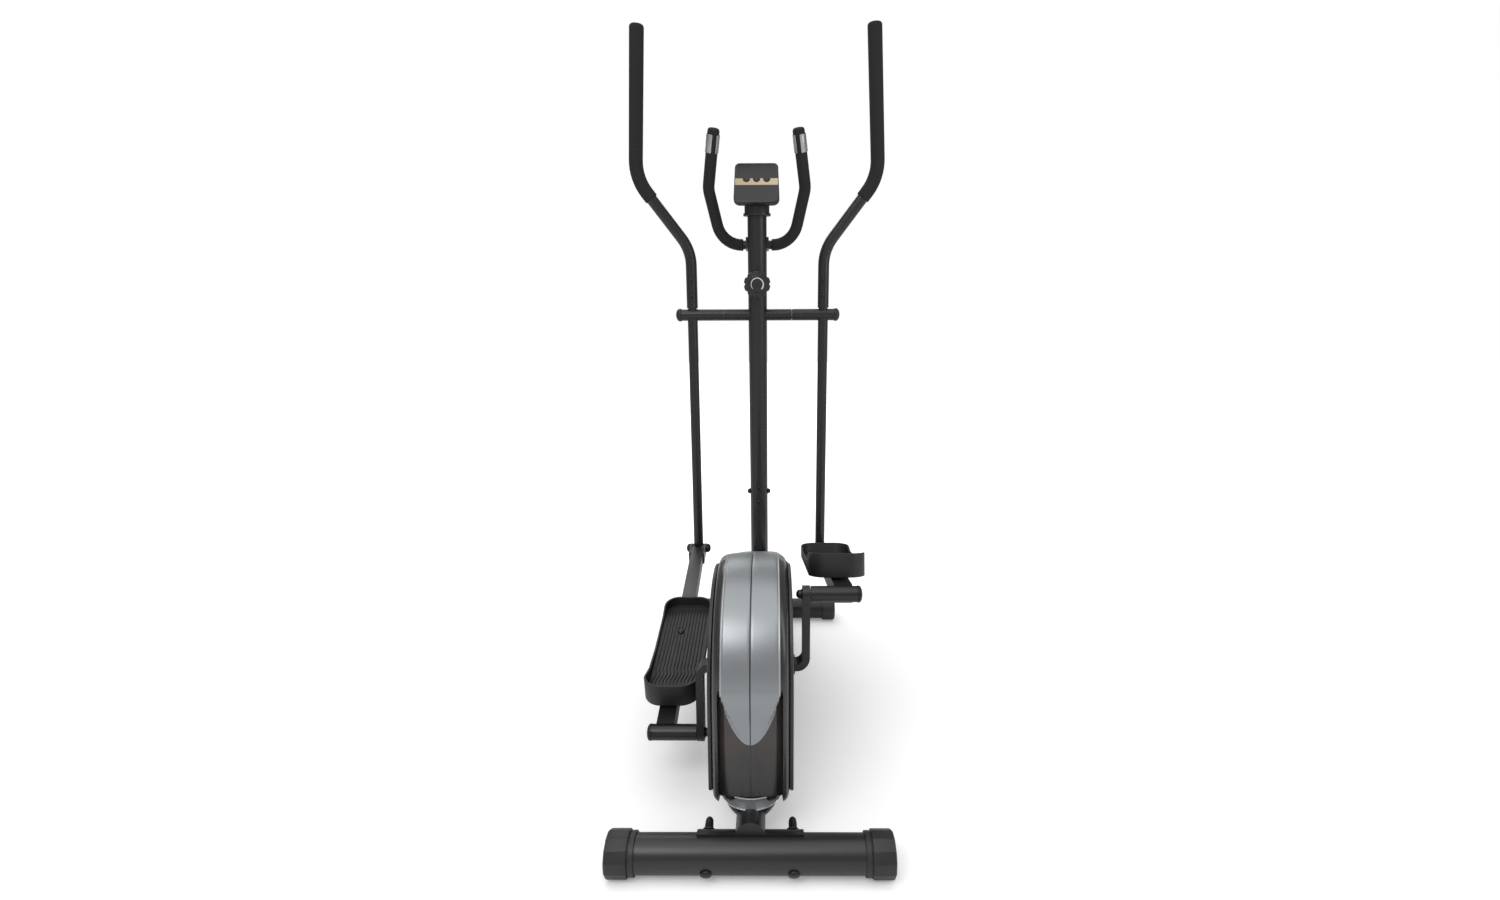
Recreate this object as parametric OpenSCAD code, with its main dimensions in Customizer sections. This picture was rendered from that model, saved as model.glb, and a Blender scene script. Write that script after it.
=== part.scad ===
// Elliptical trainer: steel frame, crank-driven pedal tubes, swinging handles and a magnetic brake.
// X runs across the machine, Y points the way the user faces, Z is up, and the floor is Z = 0.

/* [Stance] */
// Width over the stabiliser end caps
base_w = 440; // [400:10:560]
// Distance between the rear and front stabiliser tubes
stab_spacing = 955; // [900:5:1150]
// Outer diameter of both stabiliser tubes
stab_d = 57; // [50:1:62]
// Distance across the flats of the rear levelling caps
cap_d = 66; // [64:1:84]
// Length of each stabiliser end cap
cap_len = 36; // [28:1:50]

/* [Frame] */
// Outer diameter of the long main tube
main_d = 46; // [40:1:50]
// Height of the main tube's centre line above the floor
main_h = 62; // [60:1:70]
// Outer diameter of the upright post
post_d = 47.6; // [40:0.1:52]
// Lean of the post towards the user, in degrees
post_lean = 7; // [4:0.5:9]
// Height of the joint between the post's two parts
post_seam_h = 358; // [320:1:420]
// Wall thickness of the frame tubes
tube_wall = 2; // [1.5:0.1:3]

/* [Crank] */
// Crank axle's distance ahead of the rear stabiliser
crank_y = 188; // [180:1:200]
// Height of the crank axle
crank_h = 246; // [240:1:256]
// Crank arm length from axle to pin
crank_r = 130; // [100:1:134]
// Crank axle diameter
axle_d = 20; // [16:1:22]
// Outer radius of the large drive pulley
pulley_r = 84; // [70:1:85]

/* [Swing arms] */
// Swing pivot's distance ahead of the rear stabiliser
pivot_y = 820; // [800:5:850]
// Height of the swing pivots
pivot_h = 884; // [870:1:900]
// Distance from the swing pivot to the pedal tube's fork bolt
swing_len = 634; // [620:1:650]
// Sideways distance of each swing arm from the centre plane
swing_x = 168; // [160:1:175]
// Distance from the fork bolt to the crank pin
link_len = 680; // [665:1:700]
// Outer diameter of the swing arm tube
swing_d = 25.4; // [22:0.2:28]
// Diameter of the cross axle that carries both swing arms
pivot_axle_d = 20; // [16:1:21]

/* [Handles] */
// Sideways distance of each handle from the centre plane at its upper bend
grip_x = 296; // [260:2:330]
// Distance from the swing pivot to the top of the grip
handle_h = 652; // [600:5:720]
// Distance that the top of the grip leans back towards the user
grip_back = 55; // [20:1:80]
// Outer diameter of the handle tube
handle_d = 28; // [27:0.5:30]
// Outer diameter of the foam grip
foam_d = 34; // [32:0.5:40]

/* [Pedals] */
// Width of each pedal
pedal_w = 104; // [96:1:106]
// Length of each pedal
pedal_l = 320; // [280:5:340]
// Height of the wall at the pedal's heel
heel_h = 44; // [30:1:60]
// Width and height of the square pedal tube
link_w = 32; // [28:1:36]

/* [Console] */
// Width of the console
console_w = 114; // [110:1:150]
// Height of the console's face
console_h = 108; // [106:1:130]
// Thickness of the console
console_t = 36; // [32:1:50]
// Diameter of the tension knob
knob_d = 66; // [50:1:74]

/* [Housing] */
// Half width of the housing's central band
band_x = 47; // [46:1:50]
// Half width of the housing over its side covers
side_x = 69; // [67:1:72]
// Wall thickness of the housing mouldings
skin = 3; // [2:0.5:4]

/* [Hidden] */
// Which sub-part is drawn
$fn = 48;
// Clearances: running fits, gaps between moving bodies, and the seats of fixed parts
run_fit = 0.05;
gap = 0.5;
seat = 0.1;
// Stabilisers
stab_r = stab_d / 2;
stab_z = cap_d / 2;
tube_half = base_w / 2 - cap_len;
collar_len = 10;
saddle_t = 4;
saddle_half = 82;
stab_bolt_x = 66;
stab_bolt_tilt = 25.5;
stab_bolt_d = 8;
wheel_r = 18;
wheel_w = 14;
wheel_y = 15;
wheel_z = -12;
// Post: its centre line leans about the swing pivot
function post_y(z) = pivot_y + (pivot_h - z) * tan(post_lean);
spigot_len = 100;
post_bolt_low = 28;
post_bolt_side = 50;
post_bolt_high = 68;
post_top_h = 1128;
stub_base_h = main_h + 10;
// Cross axle
cross_d = 29;
hub_in = 88;
hub_out = 196;
pivot_axle_half = 200;
// Housing outline in Y and Z: centres and radii of its corner circles
housing_back = 32;
housing_floor = 80;
housing = [[housing_back + 24, housing_floor + 24, 24], [housing_back + 184, 248, 184],
           [852, 194, 46], [864, 116, 36]];
// Crank drive
hub_x = side_x - 9;
hub_len = 14;
hub_d = 34;
arm_t = 13;
arm_x = 87;
arm_w = 30;
shell_half = 30;
bearing_d = 35;
belt_x = 46;
belt_w = 10;
belt_t = 3;
belt_steps = 32;
fly_y = 590;
fly_h = 185;
fly_r = 84;
fly_half = 15;
small_r = 22;
fly_axle_d = 15;
fly_bearing_d = 28;
plate_x = 30;
plate_t = 4;
brake_r0 = 92;
brake_r1 = 99;
brake_pin = [fly_y + 96 * cos(202), fly_h + 96 * sin(202)];
brake_pin_d = 8;
idler_r = 14;
// Handle sockets: the inner wall is a twenty-sided tube that clears the round spigot
spigot_d = handle_d - 6;
socket_r = spigot_d / 2 + 0.25;
handle_bolt_h = [48, 86];
// Sleeves and links
sleeve_in = arm_x + arm_t + 1.5;
sleeve_out = 182;
sleeve_d = 28;
pin_d = 12;
link_x = 158;
eye_half = 17;
fork_t = 3;
fork_bolt_d = 10;
pedal_x = sleeve_in + 0.5 + pedal_w / 2;
pedal_start = 42;
pedal_lift = link_w / 2 + 5;
pedal_bolt_y = [70, 260];
// Console
console_tilt = 21;
console_mid = [752, 1192];
button_x = 24.5;
button_z = 10;
button_d = 12;
lens_z = 34.5;
lens_w = 50;
lens_h = 18;
knob_h = 961;
// Fixed handlebar: half of its centre line, from the post outwards
bar_d = 22;
bar_foam_d = 29;
bar_h = 1060;
bar_y = post_y(bar_h) + post_d / 2 + bar_d / 2 + 1;
bar_path = [[0, bar_y, bar_h], [90, bar_y, bar_h], [119, bar_y - 48, bar_h + 126],
            [100, bar_y - 102, bar_h + 242]];

// ---- Places ----

// Puts children, drawn from the rear stabiliser, in the machine's own frame.
module from_rear() translate([0, -stab_spacing / 2, 0]) children();

// Where the fork bolt is when the crank pin is at p, in Y and Z.
function fork_at(p) =
    let (d = [pivot_y, pivot_h] - p, n = norm(d), u = d / n)
    let (a = (swing_len ^ 2 - link_len ^ 2 + n ^ 2) / (2 * n), h = sqrt(swing_len ^ 2 - a ^ 2))
    [pivot_y, pivot_h] - a * u + h * [u[1], -u[0]];

// The crank stands upright: the right pin is at the top, the left one at the bottom.
function pin_at(side) = [crank_y, crank_h + side * crank_r];
function swing_angle(side) =
    let (f = fork_at(pin_at(side)))
    atan2(f[0] - pivot_y, pivot_h - f[1]);
function link_angle(side) =
    let (d = fork_at(pin_at(side)) - pin_at(side))
    atan2(d[1], d[0]);

// A swing arm's own frame: origin on the pivot, +Z up along the arm.
module swing_frame(side) from_rear()
    translate([0, pivot_y, pivot_h]) rotate([swing_angle(side), 0, 0]) children();

// A pedal tube's own frame: origin on the crank pin, +Y towards the fork.
module link_frame(side) from_rear()
    translate([0, pin_at(side)[0], pin_at(side)[1]]) rotate([link_angle(side), 0, 0]) children();

// The post's own frame: origin on its centre line at height z.
module post_frame(z) from_rear()
    translate([0, post_y(z), z]) rotate([post_lean, 0, 0]) children();

// The console's own frame: origin in the middle of its face, -Y out of the face.
module console_frame() from_rear()
    translate([0, console_mid[0], console_mid[1]]) rotate([-console_tilt, 0, 0]) children();

// The flywheel's own frame and the crank's own frame.
module fly_frame() from_rear() translate([0, fly_y, fly_h]) children();
module crank_frame() from_rear() translate([0, crank_y, crank_h]) children();

// Mirrors children to the left side when side is -1.
module sided(side) mirror([side < 0 ? 1 : 0, 0, 0]) children();

// ---- Shapes ----

// A cylinder along X from x0 to x1.
module rod_x(x0, x1, d) translate([x0, 0, 0]) rotate([0, 90, 0]) cylinder(d = d, h = x1 - x0);

// A cylinder along Y from y0 to y1.
module rod_y(y0, y1, d) translate([0, y0, 0]) rotate([-90, 0, 0]) cylinder(d = d, h = y1 - y0);

// A block from one corner to the other.
module block(a, b) translate(a) cube(b - a);

// A Y-Z outline extruded along X from x0 to x1.
module slab_x(x0, x1, pts) translate([x0, 0, 0]) rotate([90, 0, 90])
    linear_extrude(x1 - x0) polygon(pts);

// A dome-headed bolt or acorn nut: seat at the origin, dome along +X.
module dome(d, h) rotate([0, 90, 0]) rotate_extrude() polygon(concat([[0, 0], [d / 2, 0]],
    [for (i = [0:6]) [d / 2 * cos(i * 15), h * (0.35 + 0.65 * sin(i * 15))]]));

// A dome with a washer under it.
module dome_washer(d, h) {
    rod_x(0, 2, d + 3);
    translate([1.9, 0, 0]) dome(d, h);
}

// Points of an arc in two dimensions.
function arc(c, r, a0, a1, n) = [for (i = [0:n]) c + r * [cos(a0 + (a1 - a0) * i / n),
                                                         sin(a0 + (a1 - a0) * i / n)]];

// A rounded rectangle's points.
function round_rect(w, h, r) = concat(
    arc([w / 2 - r, h / 2 - r], r, 0, 90, 6), arc([r - w / 2, h / 2 - r], r, 90, 180, 6),
    arc([r - w / 2, r - h / 2], r, 180, 270, 6), arc([w / 2 - r, r - h / 2], r, 270, 360, 6));

// A capsule's points: round ends of radius r about a and b, which lie along Y.
function capsule(a, b, r) = concat(arc(a, r, 180, 360, 16), arc(b, r, 0, 180, 16));

// A tight loop round circles [y, z, r] listed clockwise, each radius less the inset.
function tangent(c0, c1) =
    let (d = [c1[0] - c0[0], c1[1] - c0[1]])
    atan2(d[1], d[0]) + 90 + asin((c1[2] - c0[2]) / norm(d));
function turn(a, b) = b > a ? b - 360 : b;
function loop(cs, inset = 0, steps = 10) = [
    for (i = [0:len(cs) - 1])
        let (n = len(cs), c = cs[i], a0 = tangent(cs[(i + n - 1) % n], c))
        let (a1 = turn(a0, tangent(c, cs[(i + 1) % n])))
        each arc([c[0], c[1]], c[2] - inset, a0, a1, steps)];

// ---- Bent tubes ----

// A path with its corners rounded to radius r.
function unit(v) = v / norm(v);
function bend(a, b, c, r, n) =
    let (u = unit(a - b), v = unit(c - b), half = acos(u * v) / 2)
    let (t = r / tan(half), m = b + unit(u + v) * r / sin(half))
    let (e = unit(b + u * t - m), f = unit(cross(cross(e, b + v * t - m), e)), s = 180 - 2 * half)
    [for (i = [0:n]) m + r * (cos(s * i / n) * e + sin(s * i / n) * f)];
function rounded(p, r, n) = concat([p[0]],
    [for (i = [1:len(p) - 2]) each bend(p[i - 1], p[i], p[i + 1], r, n)], [p[len(p) - 1]]);

// Directions along a path, and a ring of points across it, kept square to the X-ish axis w.
function heading(p, i) = i == 0 ? unit(p[1] - p[0]) :
    i == len(p) - 1 ? unit(p[i] - p[i - 1]) : unit(unit(p[i] - p[i - 1]) + unit(p[i + 1] - p[i]));
function ring(p, i, r, k, w) =
    let (t = heading(p, i), a = unit(cross(w, t)), b = cross(t, a))
    [for (j = [0:k - 1]) p[i] + r * (cos(360 * j / k) * a + sin(360 * j / k) * b)];

// A solid tube along a path.
module sweep(p, r, k, w) {
    m = len(p);
    pts = [for (i = [0:m - 1]) each ring(p, i, r, k, w)];
    walls = [for (i = [0:m - 2], j = [0:k - 1])
        [i * k + j, (i + 1) * k + j, (i + 1) * k + (j + 1) % k, i * k + (j + 1) % k]];
    ends = [[for (j = [0:k - 1]) j], [for (j = [k - 1:-1:0]) (m - 1) * k + j]];
    polyhedron(pts, concat(walls, ends));
}

// A hollow tube along a path: open at its start, and closed past the last point by the length cap.
module pocket_tube(p, r0, r1, k, w, cap) {
    m = len(p);
    q = concat(p, [p[m - 1] + heading(p, m - 1) * cap]);
    pts = concat([for (i = [0:m]) each ring(q, i, r1, k, w)],
                 [for (i = [0:m - 1]) each ring(p, i, r0, k, w)]);
    o = (m + 1) * k;
    outer = [for (i = [0:m - 1], j = [0:k - 1])
        [i * k + j, (i + 1) * k + j, (i + 1) * k + (j + 1) % k, i * k + (j + 1) % k]];
    inner = [for (i = [0:m - 2], j = [0:k - 1])
        [o + i * k + (j + 1) % k, o + (i + 1) * k + (j + 1) % k, o + (i + 1) * k + j, o + i * k + j]];
    mouth = [for (j = [0:k - 1]) [j, (j + 1) % k, o + (j + 1) % k, o + j]];
    tip = [[for (j = [k - 1:-1:0]) m * k + j], [for (j = [0:k - 1]) o + (m - 1) * k + j]];
    polyhedron(pts, concat(outer, inner, mouth, tip));
}

// ---- Frame ----

module stab_saddle(dir) {
    // A curved plate round the stabiliser tube, on the side that faces the machine's middle.
    translate([-saddle_half, 0, 0]) rotate([90, 0, 90]) rotate([0, 0, dir > 0 ? -20 : 90])
        rotate_extrude(angle = 110, $fn = 96)
            translate([stab_r + seat, 0]) square([saddle_t, 2 * saddle_half]);
}

module stab_bolt_holes(dir) for (x = [-stab_bolt_x, stab_bolt_x])
    translate([x, 0, 0]) rotate([dir * stab_bolt_tilt, 0, 0])
        rod_y(-80, 80, stab_bolt_d + 2 * seat);

module main_frame() color("#191a1c") from_rear() difference() {
    union() {
        translate([0, 0, main_h]) difference() {
            rod_y(0, stab_spacing, main_d);
            rod_y(stab_r + 20, stab_spacing - stab_r - 20, main_d - 2 * tube_wall);
        }
        translate([0, 0, stab_z]) stab_saddle(1);
        translate([0, stab_spacing, stab_z]) stab_saddle(-1);
        post_stub();
        crank_stand();
        for (s = [-1, 1]) sided(s) fly_plate();
        fly_feet();
        translate([0, brake_pin[0], brake_pin[1]])
            rod_x(-plate_x - 1, plate_x + 1, brake_pin_d - 2 * run_fit);
        idler_stand();
    }
    translate([0, 0, stab_z]) rod_x(-tube_half, tube_half, stab_d + 2 * seat);
    translate([0, stab_spacing, stab_z]) rod_x(-tube_half, tube_half, stab_d + 2 * seat);
    translate([0, 0, stab_z]) stab_bolt_holes(1);
    translate([0, stab_spacing, stab_z]) stab_bolt_holes(-1);
    translate([0, crank_y, crank_h]) rod_x(-shell_half - 1, shell_half + 1, bearing_d);
    translate([0, fly_y, fly_h]) rod_x(-plate_x - plate_t - 1, plate_x + plate_t + 1, fly_bearing_d);
}

module post_stub() translate([0, stab_spacing / 2, 0]) difference() {
    union() {
        post_frame(post_seam_h) translate([0, 0, -(post_seam_h - stub_base_h) / cos(post_lean)])
            cylinder(d = post_d, h = (post_seam_h - stub_base_h) / cos(post_lean));
        post_frame(post_seam_h) translate([0, 0, -1])
            cylinder(d = post_d - 2 * tube_wall - 2 * seat, h = spigot_len + 1);
    }
    post_frame(post_seam_h) translate([0, 0, -170])
        cylinder(d = post_d - 4 * tube_wall - 2, h = spigot_len + 180);
    post_frame(post_seam_h) for (h = [post_bolt_low, post_bolt_high]) translate([0, 0, h])
        rod_y(-40, 0, stab_bolt_d + 2 * seat);
    post_frame(post_seam_h) translate([0, 0, post_bolt_side]) rod_x(-40, 40, stab_bolt_d + 2 * seat);
    post_frame(post_seam_h) translate([0, 0, -150]) rod_y(-40, 0, 14);
}

module crank_stand() {
    translate([0, crank_y, crank_h]) rod_x(-shell_half, shell_half, bearing_d + 10);
    block([-14, crank_y - 24, main_h + main_d / 2 - 6], [14, crank_y + 24, crank_h - 12]);
}

module fly_plate() slab_x(plate_x, plate_x + plate_t,
    [[brake_pin[0] - 14, 54], [fly_y + 50, 54], [fly_y + 50, 110], [fly_y + 22, fly_h + 26],
     [fly_y - 22, fly_h + 26], [brake_pin[0] + 16, brake_pin[1] + 16],
     [brake_pin[0] - 14, brake_pin[1] + 16]]);

module fly_feet() for (y = [brake_pin[0] - 14, fly_y + 26])
    block([-plate_x - 1, y, 50], [plate_x + 1, y + 24, 60]);

// The idler hangs on the lower run of the belt.
belt_dir = atan2(fly_h - crank_h, fly_y - crank_y)
    + asin((pulley_r - small_r) / norm([fly_y - crank_y, fly_h - crank_h]));
idler_at = [crank_y, crank_h] + (pulley_r + gap + belt_t + gap + idler_r)
    * [sin(belt_dir), -cos(belt_dir)] + 235 * [cos(belt_dir), sin(belt_dir)];

module idler_stand() {
    block([-8, idler_at[0] - 14, main_h], [32, idler_at[0] + 14, main_h + main_d / 2 + 6]);
    block([28, idler_at[0] - 14, main_h + main_d / 2], [34, idler_at[0] + 14, idler_at[1] + 12]);
    translate([0, idler_at[0], idler_at[1]]) rod_x(30, belt_x + belt_w / 2 + 2, 8 - 2 * run_fit);
}

module stab_tube(y, dir) color("#17181a") from_rear() translate([0, y, stab_z]) difference() {
    rod_x(-tube_half, tube_half, stab_d);
    rod_x(-tube_half - 1, tube_half + 1, stab_d - 2 * tube_wall);
    stab_bolt_holes(dir);
}
module rear_stabiliser_tube() stab_tube(0, 1);
module front_stabiliser_tube() stab_tube(stab_spacing, -1);

// A levelling cap: a plug inside the tube and a twelve-sided outer grip.
module rear_cap(side) color("#1f2022") from_rear() translate([0, 0, stab_z]) sided(side)
    difference() {
        union() {
            translate([tube_half + gap, 0, 0]) rotate([0, 90, 0]) rotate([0, 0, 15])
                cylinder(d = cap_d / cos(15), h = cap_len - 4, $fn = 12);
            translate([tube_half + cap_len - 4, 0, 0]) rotate([0, 90, 0]) rotate([0, 0, 15])
                cylinder(d1 = cap_d / cos(15), d2 = cap_d / cos(15) - 8, h = 4, $fn = 12);
            rod_x(tube_half - 30, tube_half + gap + 1, stab_d - 2 * tube_wall - 2 * run_fit);
            difference() {
                rod_x(tube_half - collar_len, tube_half + 1, cap_d - 3);
                rod_x(tube_half - collar_len - 1, tube_half + gap, stab_d + 2 * gap);
            }
        }
        rod_x(tube_half - 31, tube_half + 8, stab_d - 2 * tube_wall - 10);
    }
module rear_cap_left() rear_cap(-1);
module rear_cap_right() rear_cap(1);

// A fixed front cap with a pocket for its transport wheel.
module front_cap(side) color("#1f2022") from_rear() translate([0, stab_spacing, stab_z])
    sided(side) difference() {
        union() {
            rod_x(tube_half, tube_half + cap_len - 4, cap_d);
            translate([tube_half + cap_len - 4, 0, 0]) rotate([0, 90, 0])
                cylinder(d1 = cap_d, d2 = cap_d - 8, h = 4);
            rod_x(tube_half - 30, tube_half + 1, stab_d - 2 * tube_wall - 2 * seat);
        }
        rod_x(tube_half - 31, tube_half + 4, stab_d - 2 * tube_wall - 10);
        translate([0, wheel_y, wheel_z])
            rod_x(wheel_x() - wheel_w / 2 - gap, wheel_x() + wheel_w / 2 + gap, 2 * wheel_r + 3);
        translate([0, wheel_y, wheel_z]) rod_x(wheel_x() - 14, wheel_x() + 13, 6);
    }
function wheel_x() = tube_half + cap_len / 2 + 1;
module front_cap_left() front_cap(-1);
module front_cap_right() front_cap(1);

module transport_wheel(side) color("#0f0f10") from_rear()
    translate([0, stab_spacing + wheel_y, stab_z + wheel_z]) sided(side) {
        rod_x(wheel_x() - wheel_w / 2, wheel_x() + wheel_w / 2, 2 * wheel_r);
        rod_x(wheel_x() - 13, wheel_x() + 12, 6 - 2 * run_fit);
    }
module transport_wheel_left() transport_wheel(-1);
module transport_wheel_right() transport_wheel(1);

// A carriage bolt through the tube, with its head outside and an acorn nut on the saddle.
module stab_bolt(dir) rotate([dir * stab_bolt_tilt, 0, 0]) mirror([0, dir > 0 ? 0 : 1, 0]) {
    rod_y(-stab_r - 1, stab_r + saddle_t + 6, stab_bolt_d);
    translate([0, -stab_r - 0.05, 0]) rotate([0, 0, -90]) dome(18, 4.5);
    translate([0, stab_r + saddle_t + 0.4, 0]) rotate([0, 0, 90]) {
        rod_x(0, 2, 20);
        rotate([0, 90, 0]) translate([0, 0, 1.5]) cylinder(d = 15, h = 8, $fn = 6);
        translate([9, 0, 0]) dome(13, 13);
    }
}
module stabiliser_bolts() color("#232426") from_rear() for (x = [-stab_bolt_x, stab_bolt_x]) {
    translate([x, 0, stab_z]) stab_bolt(1);
    translate([x, stab_spacing, stab_z]) stab_bolt(-1);
}

module front_post() color("#151517") difference() {
    union() {
        post_frame(post_seam_h) cylinder(d = post_d, h = post_len());
        from_rear() translate([0, pivot_y, pivot_h]) rod_x(-hub_in + 1, hub_in - 1, cross_d);
        post_frame(knob_h) rod_y(-post_d / 2 - 8, 0, 44);
        post_frame(post_top_h) translate([0, 0, -6]) cylinder(d = 68, h = 6);
        for (s = [-1, 1]) sided(s) bar_lug();
    }
    post_frame(post_seam_h) translate([0, 0, -1])
        cylinder(d = post_d - 2 * tube_wall, h = post_len() - 20);
    from_rear() translate([0, pivot_y, pivot_h])
        rod_x(-hub_in, hub_in, pivot_axle_d + 2 * seat);
    post_frame(knob_h) rod_y(-post_d / 2 - 9, 0, 12);
    post_frame(post_seam_h) for (h = [post_bolt_low, post_bolt_high]) translate([0, 0, h])
        rod_y(-40, 0, stab_bolt_d + 2 * seat);
    post_frame(post_seam_h) translate([0, 0, post_bolt_side]) rod_x(-40, 40, stab_bolt_d + 2 * seat);
    from_rear() translate([0, bar_y, bar_h]) rod_x(-40, 40, bar_d + 2 * seat);
}
function post_len() = (post_top_h - post_seam_h) / cos(post_lean);

// A lug on the post's side that holds the fixed handlebar.
module bar_lug() from_rear() slab_x(post_d / 2 - 4, post_d / 2 + 5,
    [[bar_y - 34, bar_h - 14], [bar_y, bar_h - 16], [bar_y + 15, bar_h - 10], [bar_y + 15, bar_h + 10],
     [bar_y, bar_h + 16], [bar_y - 34, bar_h + 14]]);

module post_bolts() color("#26272a") {
    post_frame(post_seam_h) for (h = [post_bolt_low, post_bolt_high]) translate([0, 0, h]) {
        rod_y(-post_d / 2 - 1, -post_d / 2 + 14, stab_bolt_d);
        translate([0, -post_d / 2 - 0.2, 0]) rotate([0, 0, -90]) dome_washer(13, 6);
    }
    post_frame(post_seam_h) translate([0, 0, post_bolt_side]) {
        rod_x(-post_d / 2 - 1, post_d / 2 + 1, stab_bolt_d);
        for (s = [-1, 1]) sided(s) translate([post_d / 2 + 0.2, 0, 0]) dome_washer(13, 6);
    }
}

module pivot_axle() color("#8b8e92") from_rear() translate([0, pivot_y, pivot_h])
    rod_x(-pivot_axle_half, pivot_axle_half, pivot_axle_d);

module axle_caps() color("#1b1c1e") from_rear() translate([0, pivot_y, pivot_h])
    for (s = [-1, 1]) sided(s) difference() {
        translate([hub_out + gap, 0, 0]) dome(32, 14);
        rod_x(hub_out, pivot_axle_half, pivot_axle_d);
    }

// ---- Housing ----

// The band's plan outline: its lower rear end is round.
nose_y = housing_back + band_x;
module band_plan() translate([0, 0, housing_floor - 2]) linear_extrude(400) polygon(concat(
    arc([0, nose_y], band_x, 180, 360, 24), [[band_x, 920], [-band_x, 920]]));

module housing_solid(inset) {
    intersection() {
        slab_x(0, band_x - inset, loop(housing, inset));
        union() {
            band_plan();
            block([-1, 0, 205], [band_x + 1, 940, 400]);
        }
    }
    slab_x(band_x - inset - 2, band_x + 12 - inset, loop(housing, inset + 6));
    slab_x(band_x + 10 - inset, side_x - 4 - inset, loop(housing, inset + 14));
}

module housing_half(side) color("#8d9297") from_rear() sided(side) difference() {
    housing_solid(0);
    translate([-1, 0, 0]) housing_solid(skin);
    block([-1, 100, housing_floor - 20], [36, 850, housing_floor + 12]);
    translate([0, 0, main_h]) rod_y(0, 1000, main_d + 2 * gap);
    translate([0, crank_y, crank_h]) rod_x(0, side_x, 60);
    translate([0, stab_spacing / 2, 0]) post_frame(post_seam_h) translate([0, 0, -330])
        cylinder(d = post_d + 3, h = 340);
    translate([0, stab_spacing / 2, 0]) screw_places() rod_x(-20, 5, 4);
}
module housing_left() housing_half(-1);
module housing_right() housing_half(1);

// The black lower moulding that closes the housing down to the main tube.
module lower_shroud() color("#101113") from_rear() difference() {
    hull() {
        translate([0, nose_y, housing_floor - 0.3]) cylinder(r = band_x - 3, h = 0.1);
        translate([0, nose_y - 6, main_h - 6]) cylinder(r = main_d / 2 + 6, h = 0.1);
    }
    translate([0, 0, main_h]) rod_y(0, 300, main_d + 2 * seat);
}

// A bright band round the foot of the housing's rounded rear end.
module crescent_trim() color("#c9cdd1") from_rear() translate([0, nose_y, 0]) difference() {
    translate([0, 0, housing_floor + 1]) cylinder(r = band_x + 2, h = 22);
    translate([0, 0, housing_floor - 5]) cylinder(r = band_x + seat, h = 60);
    block([-100, -6, 60], [100, 100, 160]);
    translate([0, 0, main_h]) rod_y(-100, 100, main_d + 2 * gap);
    for (s = [-1, 1]) sided(s) block([band_x - 2.3, -100, 60], [100, 100, 160]);
}

// A black cover let into each side of the housing, with a raised round boss at the crank.
module side_cover(side) color("#131416") from_rear() sided(side) difference() {
    union() {
        slab_x(side_x - 4 + seat, side_x - 1, loop(housing, 19));
        translate([0, crank_y, crank_h]) rod_x(side_x - 2, side_x, 2 * pulley_r - 14);
    }
    translate([0, crank_y, crank_h]) rod_x(0, side_x + 1, 46);
    translate([0, stab_spacing / 2, 0]) screw_places() rod_x(-20, 5, 4);
}
module side_cover_left() side_cover(-1);
module side_cover_right() side_cover(1);

// Places of the screws on one side cover, seat on the cover's outer face.
module screw_places() from_rear() for (p = [[330, 280], [330, 150], [560, 250], [560, 140],
                                            [790, 215], [790, 140]])
    translate([side_x - 1, p[0], p[1]]) children();

module housing_screws() color("#2b2c2f") for (s = [-1, 1]) sided(s) screw_places() {
    rod_x(-8, 0.5, 3.6);
    translate([seat, 0, 0]) dome(8, 2);
}

// ---- Console, knob and fixed handlebar ----

module console_case() color("#0e0f10") difference() {
    union() {
        console_frame() rotate([90, 0, 0]) translate([0, 0, -console_t + 10])
            linear_extrude(console_t - 10) polygon(round_rect(console_w, console_h, 12));
        console_frame() translate([0, 16, 0]) rotate([90, 0, 0]) translate([0, 0, -24])
            linear_extrude(24) polygon(round_rect(console_w - 22, console_h - 20, 10));
        post_frame(post_top_h) translate([0, 0, seat]) cylinder(d = 62, h = 34);
    }
    console_frame() translate([0, 0, lens_z]) block([-lens_w / 2, -1, -lens_h / 2],
                                                     [lens_w / 2, 3, lens_h / 2]);
    for (i = [-1, 0, 1]) console_frame() translate([i * button_x, 0, button_z])
        rod_y(-1, 7, button_d);
}

module console_lens() color("#5d676b") console_frame() translate([0, 0, lens_z])
    block([seat - lens_w / 2, 0.4, seat - lens_h / 2], [lens_w / 2 - seat, 2.9, lens_h / 2 - seat]);

module button(i) color("#1c1c1e") console_frame() translate([i * button_x, 0, button_z])
    rod_y(-1.6, 5, button_d - 2 * 0.3);
module button_left() button(-1);
module button_middle() button(0);
module button_right() button(1);

// The tension knob: a scalloped grip on a stem that turns in the post's boss.
module tension_knob() color("#161618") post_frame(knob_h) translate([0, -post_d / 2 - 8 - gap, 0]) {
    difference() {
        rod_y(-20, 0, knob_d);
        for (a = [0:36:324]) rotate([0, a, 0]) translate([knob_d / 2 + 5, 0, 0])
            rod_y(-21, 1, 16);
    }
    rod_y(-24, -19, knob_d * 0.62);
    rod_y(-1, 22, 12 - 2 * run_fit);
}

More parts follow.
